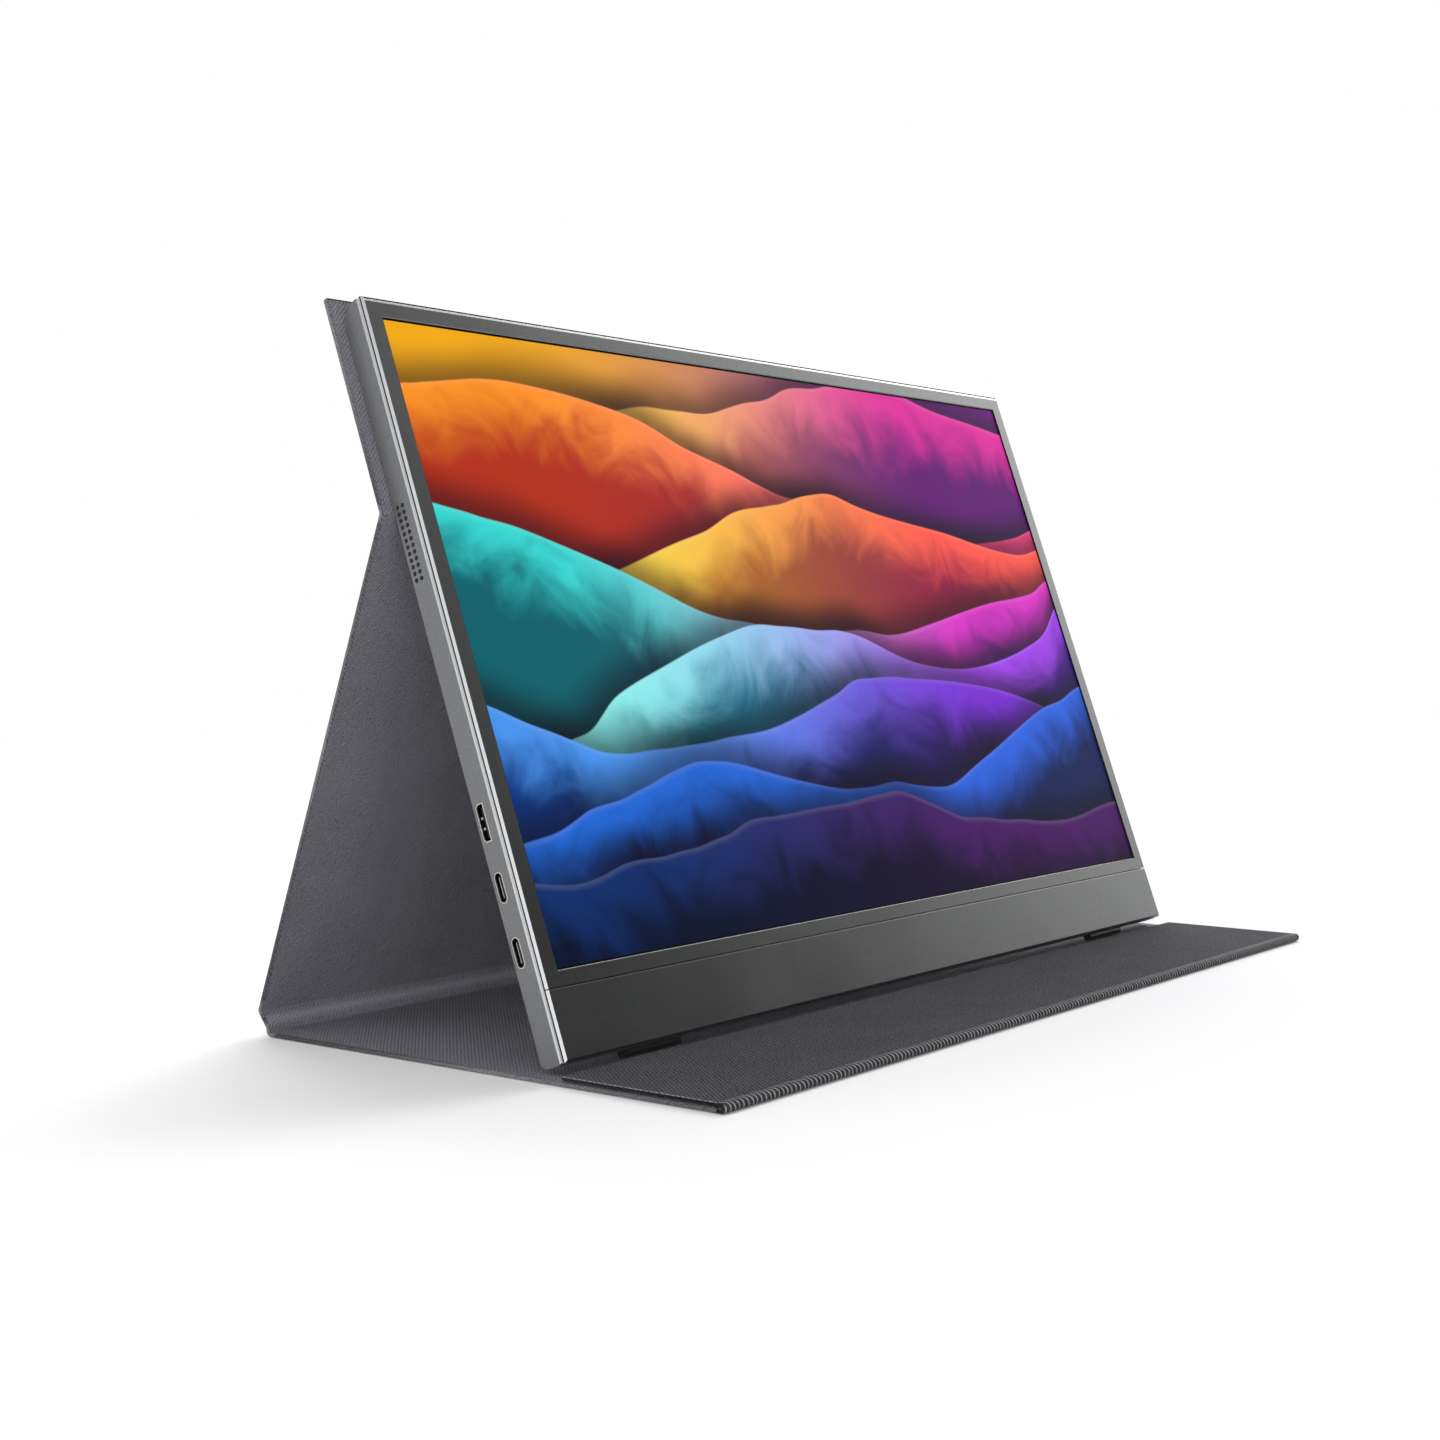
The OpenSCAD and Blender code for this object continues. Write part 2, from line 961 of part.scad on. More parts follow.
module speaker(side) {
    near = inner_half - 0.4;
    box_w = 16.5;
    front = 4.3;
    back = inner_d - 0.1;
    wall = 0.6;
    horn_w = 3;
    horn_end = 2;
    in_monitor()
        mirror([side > 0 ? 0 : 1, 0, 0])
            difference() {
                block([near - box_w, front, speaker_low], [near, back, speaker_high]);
                block(
                    [near - horn_w, front + wall, speaker_low + horn_end],
                    [near + cut, back - wall, speaker_high - horn_end]
                );
            }
}

module speaker_left() {
    color("#222224")
        speaker(-1);
}

module speaker_right() {
    color("#222224")
        speaker(1);
}

// Fine mesh stuck behind each grille
module speaker_gauze() {
    gauze_t = 0.2;
    gap = 0.05;
    end_set = 1;
    front = 4.6;
    back = inner_d - 0.15;
    color("#2c2c2e")
        in_monitor()
            for (side = [-1, 1])
                mirror([side > 0 ? 0 : 1, 0, 0])
                    block(
                        [inner_half - gap - gauze_t, front, speaker_low + end_set],
                        [inner_half - gap, back, speaker_high - end_set]
                    );
}

// Magnets in the shell's back that hold the monitor on the cover
module shell_magnets() {
    shell_magnet_t = 1.5;
    half = magnet_size.x / 2;
    color("#9a9ca0")
        in_monitor()
            for (x = cover_magnet_x, y = cover_magnet_y) {
                v = back_fold_v + y;
                block(
                    [x - half, inner_d - shell_magnet_t, v],
                    [x + half, inner_d, v + magnet_size.y]
                );
            }
}

// Sockets on the left side

// The folded steel shell of a USB-C socket, closed at its back
module usb_c_port(v) {
    mouth = -half_w + port_recess;
    back = mouth + usb_len;
    wall = 0.32;
    in_monitor()
        difference() {
            stadium_x(mouth, back, usb_d, v, usb_w, usb_h);
            stadium_x(mouth - cut, back - port_back_wall, usb_d, v, usb_w - 2 * wall, usb_h - 2 * wall);
        }
}

module usb_c_port_lower() {
    color("#b9bbbd")
        usb_c_port(usb_lower_v);
}

module usb_c_port_upper() {
    color("#b9bbbd")
        usb_c_port(usb_upper_v);
}

// A flat plastic tongue that carries a socket's contacts
module tongue(len, d, v, t, w) {
    mouth = -half_w + port_recess;
    block(
        [mouth + tongue_set, d - t / 2, v - w / 2],
        [mouth + len - port_back_wall, d + t / 2, v + w / 2]
    );
}

module usb_c_tongues() {
    color("#1b1b1d")
        in_monitor()
            for (v = [usb_lower_v, usb_upper_v])
                tongue(usb_len, usb_d, v, 0.7, 6.7);
}

module mini_hdmi_port() {
    mouth = -half_w + port_recess;
    back = mouth + hdmi_len;
    wall = 0.35;
    leg_v = 4.4;
    leg_half = 0.4;
    color("#b9bbbd")
        in_monitor() {
            difference() {
                hdmi_bar(mouth, back, hdmi_w, hdmi_h, 0.9);
                hdmi_bar(mouth - cut, back - port_back_wall, hdmi_w - 2 * wall, hdmi_h - 2 * wall, 0.75);
            }
            for (side = [-1, 1])
                block(
                    [back - 3, board_back, hdmi_v + side * leg_v - leg_half],
                    [back - 1, hdmi_d - hdmi_h / 2 + wall / 2, hdmi_v + side * leg_v + leg_half]
                );
        }
}

module mini_hdmi_tongue() {
    color("#1b1b1d")
        in_monitor()
            tongue(hdmi_len, hdmi_d, hdmi_v, 0.6, 8.6);
}

// Headphone socket on the right side
module audio_jack() {
    mouth = half_w - port_recess;
    body_out = inner_half - 0.1;
    body_front = 2.2;
    body_back = 2.3;
    body_half = 3.2;
    color("#1d1d1f")
        in_monitor()
            difference() {
                union() {
                    rod_x(body_out - 1, mouth, audio_d, audio_v, audio_nose_r);
                    block(
                        [mouth - audio_len, audio_d - body_front, audio_v - body_half],
                        [body_out, audio_d + body_back, audio_v + body_half]
                    );
                }
                rod_x(mouth - audio_len + 1, mouth + cut, audio_d, audio_v, audio_hole_r);
            }
}

module button_board() {
    color("#1f5a3a")
        in_monitor()
            block(
                [small_board_left, small_board_front, small_board_low],
                [small_board_right, small_board_back, small_board_high]
            );
}

// Fasteners

module screw(x, v, head_front, head_back, tip, head_r, shank_r) {
    rod_d(x, head_front, head_back, v, head_r);
    rod_d(x, head_back - 0.1, tip, v, shank_r);
}

module panel_screws() {
    head_r = 1.2;
    shank_r = 0.55;
    tip = 7.4;
    color("#c4c6c8")
        in_monitor()
            for (side = [-1, 1], v = ear_v)
                screw(side * ear_x, v, ledge_d + 0.05, reflector_back, tip, head_r, shank_r);
}

module board_screws() {
    head_r = 1.7;
    head_t = 0.4;
    shank_r = 0.75;
    tip = 7.6;
    color("#c4c6c8")
        in_monitor()
            for (p = board_holes)
                screw(p.x, p.y, board_front - head_t, board_front, tip, head_r, shank_r);
}

// Controls on the right side

stem_back = inner_half - 3.25;

module power_switch() {
    switch_left = 168;
    switch_right = stem_back - 1.4;
    half = 3;
    plunger_r = 1;
    color("#c9cacc")
        in_monitor() {
            block(
                [switch_left, small_board_back, power_v - half],
                [switch_right, switch_back, power_v + half]
            );
            rod_x(
                switch_right - 0.1, stem_back - power_travel - 0.1,
                control_d, power_v, plunger_r
            );
        }
}

module power_button() {
    flange_out = inner_half - 0.05;
    flange_t = 0.9;
    flange_over_w = 2;
    flange_over_h = 1;
    stem_r = 0.9;
    color("#5f6063")
        in_monitor() {
            stadium_x(flange_out - 0.1, half_w + power_proud, control_d, power_v, power_w, power_h);
            stadium_x(
                flange_out - flange_t, flange_out, control_d, power_v,
                power_w + flange_over_w, power_h + flange_over_h
            );
            rod_x(stem_back, flange_out - flange_t + 0.1, control_d, power_v, stem_r);
        }
}

carrier_back = 164.2;
carrier_half = 4;

module jog_switch() {
    switch_left = small_board_left + 0.4;
    color("#2a2a2c")
        in_monitor()
            block(
                [switch_left, small_board_back, dial_v - carrier_half],
                [carrier_back - dial_travel - 0.15, switch_back, dial_v + carrier_half]
            );
}

// A fork that holds the dial's axle and slides in when the dial is pushed
module dial_carrier() {
    fork_out = 174.9;
    bridge_t = 1.7;
    inner_gap = dial_t / 2 + control_gap;
    plate_t = 0.4;
    color("#3c3d40")
        in_monitor() {
            difference() {
                block(
                    [carrier_back, control_d - inner_gap - plate_t, dial_v - carrier_half],
                    [fork_out, control_d + inner_gap + plate_t, dial_v + carrier_half]
                );
                block(
                    [carrier_back + bridge_t, control_d - inner_gap, dial_v - carrier_half - cut],
                    [fork_out + cut, control_d + inner_gap, dial_v + carrier_half + cut]
                );
            }
            rod_d(dial_x, control_d - inner_gap - 0.1, control_d + inner_gap + 0.1, dial_v, axle_r);
        }
}

// Knurled thumb dial on the fork's axle
module menu_dial() {
    notches = 36;
    notch_r = 0.3;
    color("#4c4d50")
        in_monitor()
            difference() {
                rod_d(dial_x, control_d - dial_t / 2, control_d + dial_t / 2, dial_v, dial_r);
                rod_d(dial_x, control_d - dial_t, control_d + dial_t, dial_v, axle_r + axle_gap);
                for (i = [0 : notches - 1])
                    rod_d(
                        dial_x + dial_r * cos(i * 360 / notches),
                        control_d - dial_t,
                        control_d + dial_t,
                        dial_v + dial_r * sin(i * 360 / notches),
                        notch_r
                    );
            }
}

base_fabric();
base_board();
base_lining();
base_fold_strip();
front_fold_strip();
flap_fabric();
flap_board();
flap_lining();
closing_magnets();
spine_fabric();
spine_board();
spine_lining();
leg_fabric();
leg_board();
leg_lining();
leg_fold_strip();
back_fold_strip();
back_panel_fabric();
back_panel_board();
back_panel_lining();
cover_magnets();
rear_shell();
front_bezel();
chin_plate();
bezel_tape();
rubber_feet();
lcd_glass();
diffuser_films();
light_guide();
led_bar();
reflector_sheet();
backlight_tray();
lcd_flex_tails();
panel_driver_board();
main_board();
scaler_chip();
thermal_pad();
board_components();
display_cable();
button_flex();
speaker_leads();
usb_c_port_lower();
usb_c_port_upper();
usb_c_tongues();
mini_hdmi_port();
mini_hdmi_tongue();
audio_jack();
button_board();
power_switch();
jog_switch();
speaker_left();
speaker_right();
speaker_gauze();
shell_magnets();
panel_screws();
board_screws();
power_button();
dial_carrier();
menu_dial();
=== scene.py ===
import json
import math

import bmesh
import bpy
from mathutils import Matrix, Vector


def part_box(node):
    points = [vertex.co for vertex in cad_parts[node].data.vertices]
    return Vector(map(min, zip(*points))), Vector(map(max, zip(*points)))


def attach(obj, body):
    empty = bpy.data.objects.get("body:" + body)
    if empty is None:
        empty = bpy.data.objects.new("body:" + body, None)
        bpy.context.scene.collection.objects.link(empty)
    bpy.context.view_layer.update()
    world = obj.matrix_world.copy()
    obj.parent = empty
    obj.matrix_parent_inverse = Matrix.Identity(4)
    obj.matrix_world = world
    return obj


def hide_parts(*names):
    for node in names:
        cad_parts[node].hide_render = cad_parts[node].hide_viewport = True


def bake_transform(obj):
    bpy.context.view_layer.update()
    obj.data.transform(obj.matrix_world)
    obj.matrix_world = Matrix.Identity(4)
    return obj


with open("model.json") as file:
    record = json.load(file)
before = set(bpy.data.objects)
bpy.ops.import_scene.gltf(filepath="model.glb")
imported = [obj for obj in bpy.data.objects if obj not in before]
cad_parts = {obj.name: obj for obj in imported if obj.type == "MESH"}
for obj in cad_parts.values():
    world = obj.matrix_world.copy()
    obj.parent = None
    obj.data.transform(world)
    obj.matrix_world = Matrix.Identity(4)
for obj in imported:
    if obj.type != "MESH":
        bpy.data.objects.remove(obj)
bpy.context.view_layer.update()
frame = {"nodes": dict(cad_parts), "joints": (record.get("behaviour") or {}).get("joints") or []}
mm = 0.001

# Camera
# A product shot from the left, low over the desk, with a lens a little longer than normal.
look_down = math.radians(2.37)
look_right = math.radians(53.74)
camera_data = bpy.data.cameras.new("camera")
camera_data.lens = 54.08
camera_data.sensor_width = 36
camera_data.shift_x = -0.0373
camera_data.shift_y = -0.0084
camera_data.clip_start = 0.05
camera = bpy.data.objects.new("camera", camera_data)
camera.location = (-0.6122, -0.4185, 0.1252)
camera.rotation_euler = (math.pi / 2 - look_down, 0, -look_right)
bpy.context.scene.collection.objects.link(camera)
bpy.context.scene.camera = camera
bpy.context.scene.view_settings.view_transform = "Standard"


# Studio
# A pale floor that fades into a white background. The room is bright behind the object on the
# right and at the left, and dark in front, so that the metal face shades from dark to light.
def linear(code):
    """An sRGB hex colour as the linear RGBA that sockets take."""
    parts = [int(code[i:i + 2], 16) / 255 for i in (1, 3, 5)]
    return [c / 12.92 if c <= 0.04045 else ((c + 0.055) / 1.055) ** 2.4 for c in parts] + [1]


def add(tree, kind, inputs=None, **settings):
    """Adds a node. Inputs go by socket name or number: a value, or a socket to link from."""
    node = tree.nodes.new(kind)
    for key, value in settings.items():
        setattr(node, key, value)
    for key, value in (inputs or {}).items():
        if isinstance(value, bpy.types.NodeSocket):
            tree.links.new(value, node.inputs[key])
        else:
            node.inputs[key].default_value = value
    return node


def maths(tree, operation, *values):
    """The result of a Math node on numbers or sockets."""
    return add(tree, "ShaderNodeMath", dict(enumerate(values)), operation=operation).outputs[0]


def remap(tree, value, low, high, to_low=0.0, to_high=1.0, curve="LINEAR"):
    """A value carried from one range to another and held at its ends."""
    ends = {0: value, 1: low, 2: high, 3: to_low, 4: to_high}
    return add(tree, "ShaderNodeMapRange", ends, interpolation_type=curve).outputs[0]


def along(tree, vector, way):
    """How far a vector socket reaches along a fixed direction."""
    return add(
        tree, "ShaderNodeVectorMath", {0: vector, 1: way}, operation="DOT_PRODUCT",
    ).outputs["Value"]


def mixed(tree, share, a, b):
    """A colour between two, each an RGBA value or a socket."""
    return add(
        tree, "ShaderNodeMix", {0: share, "A": a, "B": b}, data_type="RGBA",
    ).outputs["Result"]


def new_material(name):
    """An empty node material, its tree and its output."""
    made = bpy.data.materials.new(name)
    made.use_nodes = True
    made.node_tree.nodes.clear()
    return made, made.node_tree, add(made.node_tree, "ShaderNodeOutputMaterial")


def new_object(name, mesh):
    """An object of the scene with the given mesh."""
    made = bpy.data.objects.new(name, mesh)
    bpy.context.scene.collection.objects.link(made)
    return made


floor_drop = 0.2 * mm
floor_half = 8.0
fade_from, fade_to = 0.95, 1.7
floor_lift = 0.06
bright_side = (0.86, 0.42, 0.27)
bright_peak, bright_on_matt = 3.65, 2.9
pale_side = (-0.9, 0.42, 0.0)
pale_peak = 0.95
room_dark = 0.03
floor_mesh = bpy.data.meshes.new("floor")
shape = bmesh.new()
bmesh.ops.create_grid(shape, x_segments=1, y_segments=1, size=floor_half)
bmesh.ops.translate(shape, verts=shape.verts, vec=(0, 0, -floor_drop))
shape.to_mesh(floor_mesh)
shape.free()
floor = new_object("floor", floor_mesh)
# Matt paper: it takes the soft shadow near the object, and is plain white farther off.
floor_paper, tree, out = new_material("matt studio paper")
paths = add(tree, "ShaderNodeLightPath").outputs
place = add(tree, "ShaderNodeTexCoord").outputs["Object"]
distance = add(tree, "ShaderNodeVectorMath", {0: place}, operation="LENGTH").outputs["Value"]
paper = add(tree, "ShaderNodeBsdfDiffuse", {"Color": linear("#e8e8e8")})
seen = maths(tree, "MAXIMUM", paths["Is Camera Ray"], paths["Is Glossy Ray"])
lift = add(tree, "ShaderNodeEmission", {"Strength": maths(tree, "MULTIPLY", seen, floor_lift)})
near = add(tree, "ShaderNodeAddShader", {0: paper.outputs[0], 1: lift.outputs[0]})
white = add(tree, "ShaderNodeEmission", {"Strength": 1.0})
fade = remap(tree, distance, fade_from, fade_to, curve="SMOOTHSTEP")
seen_fade = maths(tree, "MULTIPLY", fade, paths["Is Camera Ray"])
paper_out = add(tree, "ShaderNodeMixShader", {
    0: seen_fade, 1: near.outputs[0], 2: white.outputs[0],
})
tree.links.new(paper_out.outputs[0], out.inputs["Surface"])
floor_mesh.materials.append(floor_paper)

world = bpy.data.worlds.new("studio")
bpy.context.scene.world = world
world.use_nodes = True
tree = world.node_tree
tree.nodes.clear()
paths = add(tree, "ShaderNodeLightPath").outputs
direction = add(tree, "ShaderNodeTexCoord").outputs["Generated"]
to_right = remap(tree, along(tree, direction, bright_side), 0.51, 0.78)
# Matt surfaces take a little less of the bright side than the metal does.
taken = remap(tree, paths["Is Diffuse Ray"], 0.0, 1.0, bright_peak, bright_on_matt)
glow = maths(tree, "MULTIPLY", maths(tree, "POWER", to_right, 1.6), taken)
left_fill = remap(tree, along(tree, direction, pale_side), -0.35, 0.75, 0.0, pale_peak)
room = maths(tree, "ADD", maths(tree, "ADD", glow, left_fill), room_dark)
ambient = add(tree, "ShaderNodeBackground", {"Color": linear("#ffffff"), "Strength": room})
backdrop = add(tree, "ShaderNodeBackground", {"Color": linear("#ffffff"), "Strength": 1.0})
pick = add(tree, "ShaderNodeMixShader", {
    0: paths["Is Camera Ray"], 1: ambient.outputs[0], 2: backdrop.outputs[0],
})
add(tree, "ShaderNodeOutputWorld", {"Surface": pick.outputs[0]})


def softbox(name, place, size, watts):
    """A square lamp that looks at the middle of the object. Sizes in metres."""
    lamp = bpy.data.lights.new(name, "AREA")
    lamp.shape = "SQUARE"
    lamp.size = size
    lamp.energy = watts
    made = bpy.data.objects.new(name, lamp)
    made.location = place
    made.rotation_euler = (Vector((0, 0, 0.1)) - Vector(place)).to_track_quat("-Z", "Y").to_euler()
    bpy.context.scene.collection.objects.link(made)


softbox("top_softbox", (-0.2, -0.2, 2.2), 1.6, 9)
softbox("right_softbox", (1.7, 0.3, 1.5), 1.1, 9)
softbox("front_softbox", (-1.3, -1.4, 0.7), 1.6, 9)
softbox("left_softbox", (-1.5, -0.6, 0.12), 0.6, 11)


# Cover
# One sheet of woven polyester, glued round five stiff boards. It bends in the four folds between
# them, so it is made as stiff panels that ride on their bodies, and fixed strips for the folds.
# A thinner lining of the same cloth lies inside, just short of the edges.
fold_at = {joint["name"]: Vector(joint["pos_m"]) for joint in frame["joints"] if "pos_m" in joint}
cover_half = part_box("base_fabric")[1].x
panel_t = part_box("base_fabric")[1].z
crease_r = 0.6 * mm
corner_cut = 1.0 * mm
rim_round, rim_share = 0.3 * mm, 0.3
rim_angle = 0.6
rib_pitch = 1.0
sheen_from, sheen_to = 0.9, 0.4
weft_pitch = 0.9
bend_steps = 6
at_cut_gap = 1e-7


def heading_way(heading):
    """The unit vector [Y, Z] of a heading in degrees."""
    return Vector((math.cos(math.radians(heading)), math.sin(math.radians(heading))))


def walk(start, heading, moves):
    """The cover's middle line in the side view, from a point [Y, Z] and a heading in degrees.
    A move is a run in metres or a (bend in degrees, pivot distance). Returns the stations of the
    line as (point, heading, length so far) and the centre and angle of each bend."""
    point, length = Vector(start), 0.0
    stations, pivots = [(point.copy(), heading, 0.0)], []
    for move in moves:
        if isinstance(move, tuple):
            bend, pivot_n = move
            centre = point + heading_way(heading + math.copysign(90, bend)) * pivot_n
            for step in range(1, bend_steps + 1):
                part = bend * step / bend_steps
                turned = Matrix.Rotation(math.radians(part), 2) @ (point - centre)
                arc = abs(math.radians(part)) * pivot_n
                stations.append((centre + turned, heading + part, length + arc))
            point, heading, length = stations[-1]
            pivots.append((centre, bend))
        else:
            point = point + heading_way(heading) * move
            length += move
            pivots.append(None)
            stations.append((point.copy(), heading, length))
    return stations, pivots


def cover_strip(start, heading, moves, half, low, high):
    """A closed strip of the cover between two distances from its middle line, as wide as 2 half.
    Its section grows by extruding along the runs and spinning in the bends."""
    stations, pivots = walk(start, heading, moves)
    shape = bmesh.new()
    point, angle, _ = stations[0]
    across = heading_way(angle + 90)
    ends = [shape.verts.new((-half, *(point + across * n))) for n in (low, high)]
    edge = shape.edges.new(ends)
    at = 0
    for pivot in pivots:
        if pivot is None:
            step = stations[at + 1][0] - stations[at][0]
            grown = bmesh.ops.extrude_edge_only(shape, edges=[edge])["geom"]
            moved = [g for g in grown if isinstance(g, bmesh.types.BMVert)]
            bmesh.ops.translate(shape, verts=moved, vec=(0, *step))
            at += 1
        else:
            centre, bend = pivot
            grown = bmesh.ops.spin(
                shape, geom=[edge, *edge.verts], cent=(-half, *centre), axis=(1, 0, 0),
                angle=math.radians(bend), steps=bend_steps, use_duplicate=False,
            )["geom_last"]
            at += bend_steps
        edge = next(g for g in grown if isinstance(g, bmesh.types.BMEdge))
    body = bmesh.ops.extrude_face_region(shape, geom=list(shape.faces))["geom"]
    moved = [g for g in body if isinstance(g, bmesh.types.BMVert)]
    bmesh.ops.translate(shape, verts=moved, vec=(2 * half, 0, 0))
    bmesh.ops.recalc_face_normals(shape, faces=shape.faces)
    return shape, stations


def off_end(point, station):
    """How far a 3D point lies past the cut across the cover at a station."""
    return (point.yz - station[0]).dot(heading_way(station[1]))


def finish_edges(shape, joined, free_end, radius):
    """Rounds the two corners at a free end and all edges that aren't at a joined cut."""
    if free_end is not None:
        corners = [
            e for e in shape.edges
            if all(abs(off_end(v.co, free_end)) < at_cut_gap for v in e.verts)
            and abs(e.verts[0].co.x - e.verts[1].co.x) < at_cut_gap
        ]
        bmesh.ops.bevel(
            shape, geom=corners, offset=corner_cut, segments=6, profile=0.5, affect="EDGES",
            material=-1,
        )
        shape.normal_update()
    rims = []
    for edge in shape.edges:
        middle = (edge.verts[0].co + edge.verts[1].co) / 2
        at_cut = any(abs(off_end(middle, cut)) < at_cut_gap for cut in joined)
        if len(edge.link_faces) == 2 and edge.calc_face_angle() > rim_angle and not at_cut:
            rims.append(edge)
    bmesh.ops.bevel(
        shape, geom=rims, offset=radius, segments=2, profile=0.5, affect="EDGES", material=-1,
        clamp_overlap=True,
    )


def lay_cloth(shape, stations, length_before):
    """A UV map in millimetres of cloth: across the cover and along it, round every edge."""
    layer = shape.loops.layers.uv.new("cloth")
    places = {}
    for vert in shape.verts:
        best = None
        for (a, _, length_a), (b, _, length_b) in zip(stations, stations[1:]):
            line = b - a
            spot = vert.co.yz - a
            share = max(0.0, min(1.0, spot.dot(line) / line.length_squared))
            gap = (spot - line * share).length
            if best is None or gap < best[0]:
                off = line.normalized().cross(spot)
                best = (gap, length_a + (length_b - length_a) * share, off)
        places[vert] = (best[1] + length_before, best[2])
    for face in shape.faces:
        sideways = abs(face.normal.x) > 0.7
        for loop in face.loops:
            length, off = places[loop.vert]
            u = loop.vert.co.x + (off if sideways else 0.0)
            loop[layer].uv = (u / mm, (length + off) / mm)


# Woven polyester: matt, with the ribs of a twill as fine diagonals, light threads on dark ones,
# broken into flecks. The edges are lighter, a painted highlight of their rounding with some
# fraying, and a stretched band shows its weft.
def woven_cloth(name, light, dark, lean=-1.0, contrast=1.0, edge_sheen=0.0, band=None):
    made, tree, out = new_material(name)
    cloth = add(tree, "ShaderNodeUVMap", uv_map="cloth").outputs[0]
    fray = add(tree, "ShaderNodeTexNoise", {"Vector": cloth, "Scale": 0.8, "Detail": 3.0})
    shift = maths(tree, "MULTIPLY", maths(tree, "SUBTRACT", fray.outputs["Fac"], 0.5), 2.0)
    u, v, _ = add(tree, "ShaderNodeSeparateXYZ", {0: cloth}).outputs
    diagonal = maths(tree, "ADD", maths(tree, "MULTIPLY_ADD", v, lean, u), shift)
    turns = 2 * math.pi / (rib_pitch * math.sqrt(2))
    rib = maths(tree, "SINE", maths(tree, "MULTIPLY", diagonal, turns))
    other = maths(tree, "ADD", maths(tree, "MULTIPLY_ADD", v, -lean, u), shift)
    weft = maths(tree, "SINE", maths(tree, "MULTIPLY", other, 1.7 * turns))
    fleck = add(tree, "ShaderNodeTexNoise", {"Vector": cloth, "Scale": 1.5, "Detail": 2.0})
    broken = remap(tree, fleck.outputs["Fac"], 0.35, 0.65, 0.0, 1.3)
    height = maths(tree, "MULTIPLY", maths(tree, "MULTIPLY_ADD", weft, 0.45, rib), broken)
    strand = add(tree, "ShaderNodeTexNoise", {"Vector": cloth, "Scale": 0.2, "Detail": 3.0})
    strength = remap(tree, strand.outputs["Fac"], 0.3, 0.7, 0.12 * contrast, 0.36 * contrast)
    slub = add(tree, "ShaderNodeTexNoise", {"Vector": cloth, "Scale": 0.04, "Detail": 8.0})
    uneven = remap(tree, slub.outputs["Fac"], 0.3, 0.7, 0.46, 0.54)
    tone = maths(tree, "MULTIPLY_ADD", height, strength, uneven)
    colour = mixed(tree, tone, linear(dark), linear(light))
    # Painted highlight along the cloth's rounded edges, mixed with some fraying.
    if edge_sheen:
        half = cover_half / mm
        edge = remap(tree, maths(tree, "ABSOLUTE", u), half - sheen_from, half - sheen_to, 0.0, edge_sheen)
        edge = maths(tree, "MULTIPLY", edge, remap(tree, rib, -1.0, 1.0, 0.3, 1.0))
        colour = mixed(tree, edge, colour, linear("#a3a2a8"))
    if band:
        middle, reach = band
        near = remap(tree, maths(tree, "ABSOLUTE", maths(tree, "SUBTRACT", v, middle)), reach, 0.0)
        weft_rib = maths(tree, "SINE", maths(tree, "MULTIPLY", u, 2 * math.pi / weft_pitch))
        bare = maths(tree, "MULTIPLY", near, remap(tree, weft_rib, -0.4, 1.0, 0.1, 0.9))
        colour = mixed(tree, bare, colour, linear("#b2b0ba"))
    bump = add(tree, "ShaderNodeBump", {"Height": height, "Distance": 0.12 * mm, "Strength": 0.7})
    shader = add(tree, "ShaderNodeBsdfPrincipled", {
        "Base Color": colour, "Roughness": 0.95, "IOR": 1.5, "Specular IOR Level": 0.08,
        "Normal": bump.outputs[0],
    })
    tree.links.new(shader.outputs[0], out.inputs["Surface"])
    return made


# Stretched over a fold, the same cloth opens into ribs: thin light threads over dark gaps. The
# tones passed in also paint light: a painted highlight on the front fold, painted shade on edges.
def ribbed_cloth(name, light, dark, pitch, lean, share):
    made, tree, out = new_material(name)
    cloth = add(tree, "ShaderNodeUVMap", uv_map="cloth").outputs[0]
    fray = add(tree, "ShaderNodeTexNoise", {"Vector": cloth, "Scale": 0.5, "Detail": 3.0})
    shift = maths(tree, "MULTIPLY", fray.outputs["Fac"], 0.6 * pitch)
    u, v, _ = add(tree, "ShaderNodeSeparateXYZ", {0: cloth}).outputs
    place = maths(tree, "ADD", maths(tree, "MULTIPLY_ADD", v, -lean, u), shift)
    rib = maths(tree, "SINE", maths(tree, "MULTIPLY", place, 2 * math.pi / pitch))
    thread = remap(tree, rib, 1 - 2 * share, 1.0, curve="SMOOTHSTEP")
    colour = mixed(tree, thread, linear(dark), linear(light))
    bump = add(tree, "ShaderNodeBump", {"Height": rib, "Distance": 0.12 * pitch * mm})
    shader = add(tree, "ShaderNodeBsdfPrincipled", {
        "Base Color": colour, "Roughness": 0.85, "IOR": 1.5, "Specular IOR Level": 0.25,
        "Normal": bump.outputs[0],
    })
    tree.links.new(shader.outputs[0], out.inputs["Surface"])
    return made


# The whole cover is one line in the side view, from the flap's free edge to the top edge. The
# spine rises in a soft S: up from the base, then slanting to the leg.
front_fold = fold_at["front_fold"].yz
base_fold = fold_at["base_fold"].yz
leg_fold = fold_at["leg_fold"].yz
back_fold = fold_at["back_fold"].yz
back_lean = 70.0
slant = 52.0
flap_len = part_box("flap_fabric")[1].y - front_fold.x
back_len = (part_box("back_panel_fabric")[1].z - back_fold.y) / math.sin(math.radians(back_lean))
leg_line = back_fold - leg_fold
leg_heading = math.degrees(math.atan2(leg_line.y, leg_line.x))
spine_rise = leg_fold - base_fold
slant_len = spine_rise.x / math.cos(math.radians(slant))
drop_len = spine_rise.y - slant_len * math.sin(math.radians(slant))
fold_reach = 4.0 * mm
front_reach = 1.6 * mm
pivot_n = panel_t / 2 + crease_r
front_r = front_fold.y - panel_t / 2


def corner(bend):
    """How much of a run on each side of a bend its arc takes up."""
    return pivot_n * math.tan(math.radians(abs(bend)) / 2)


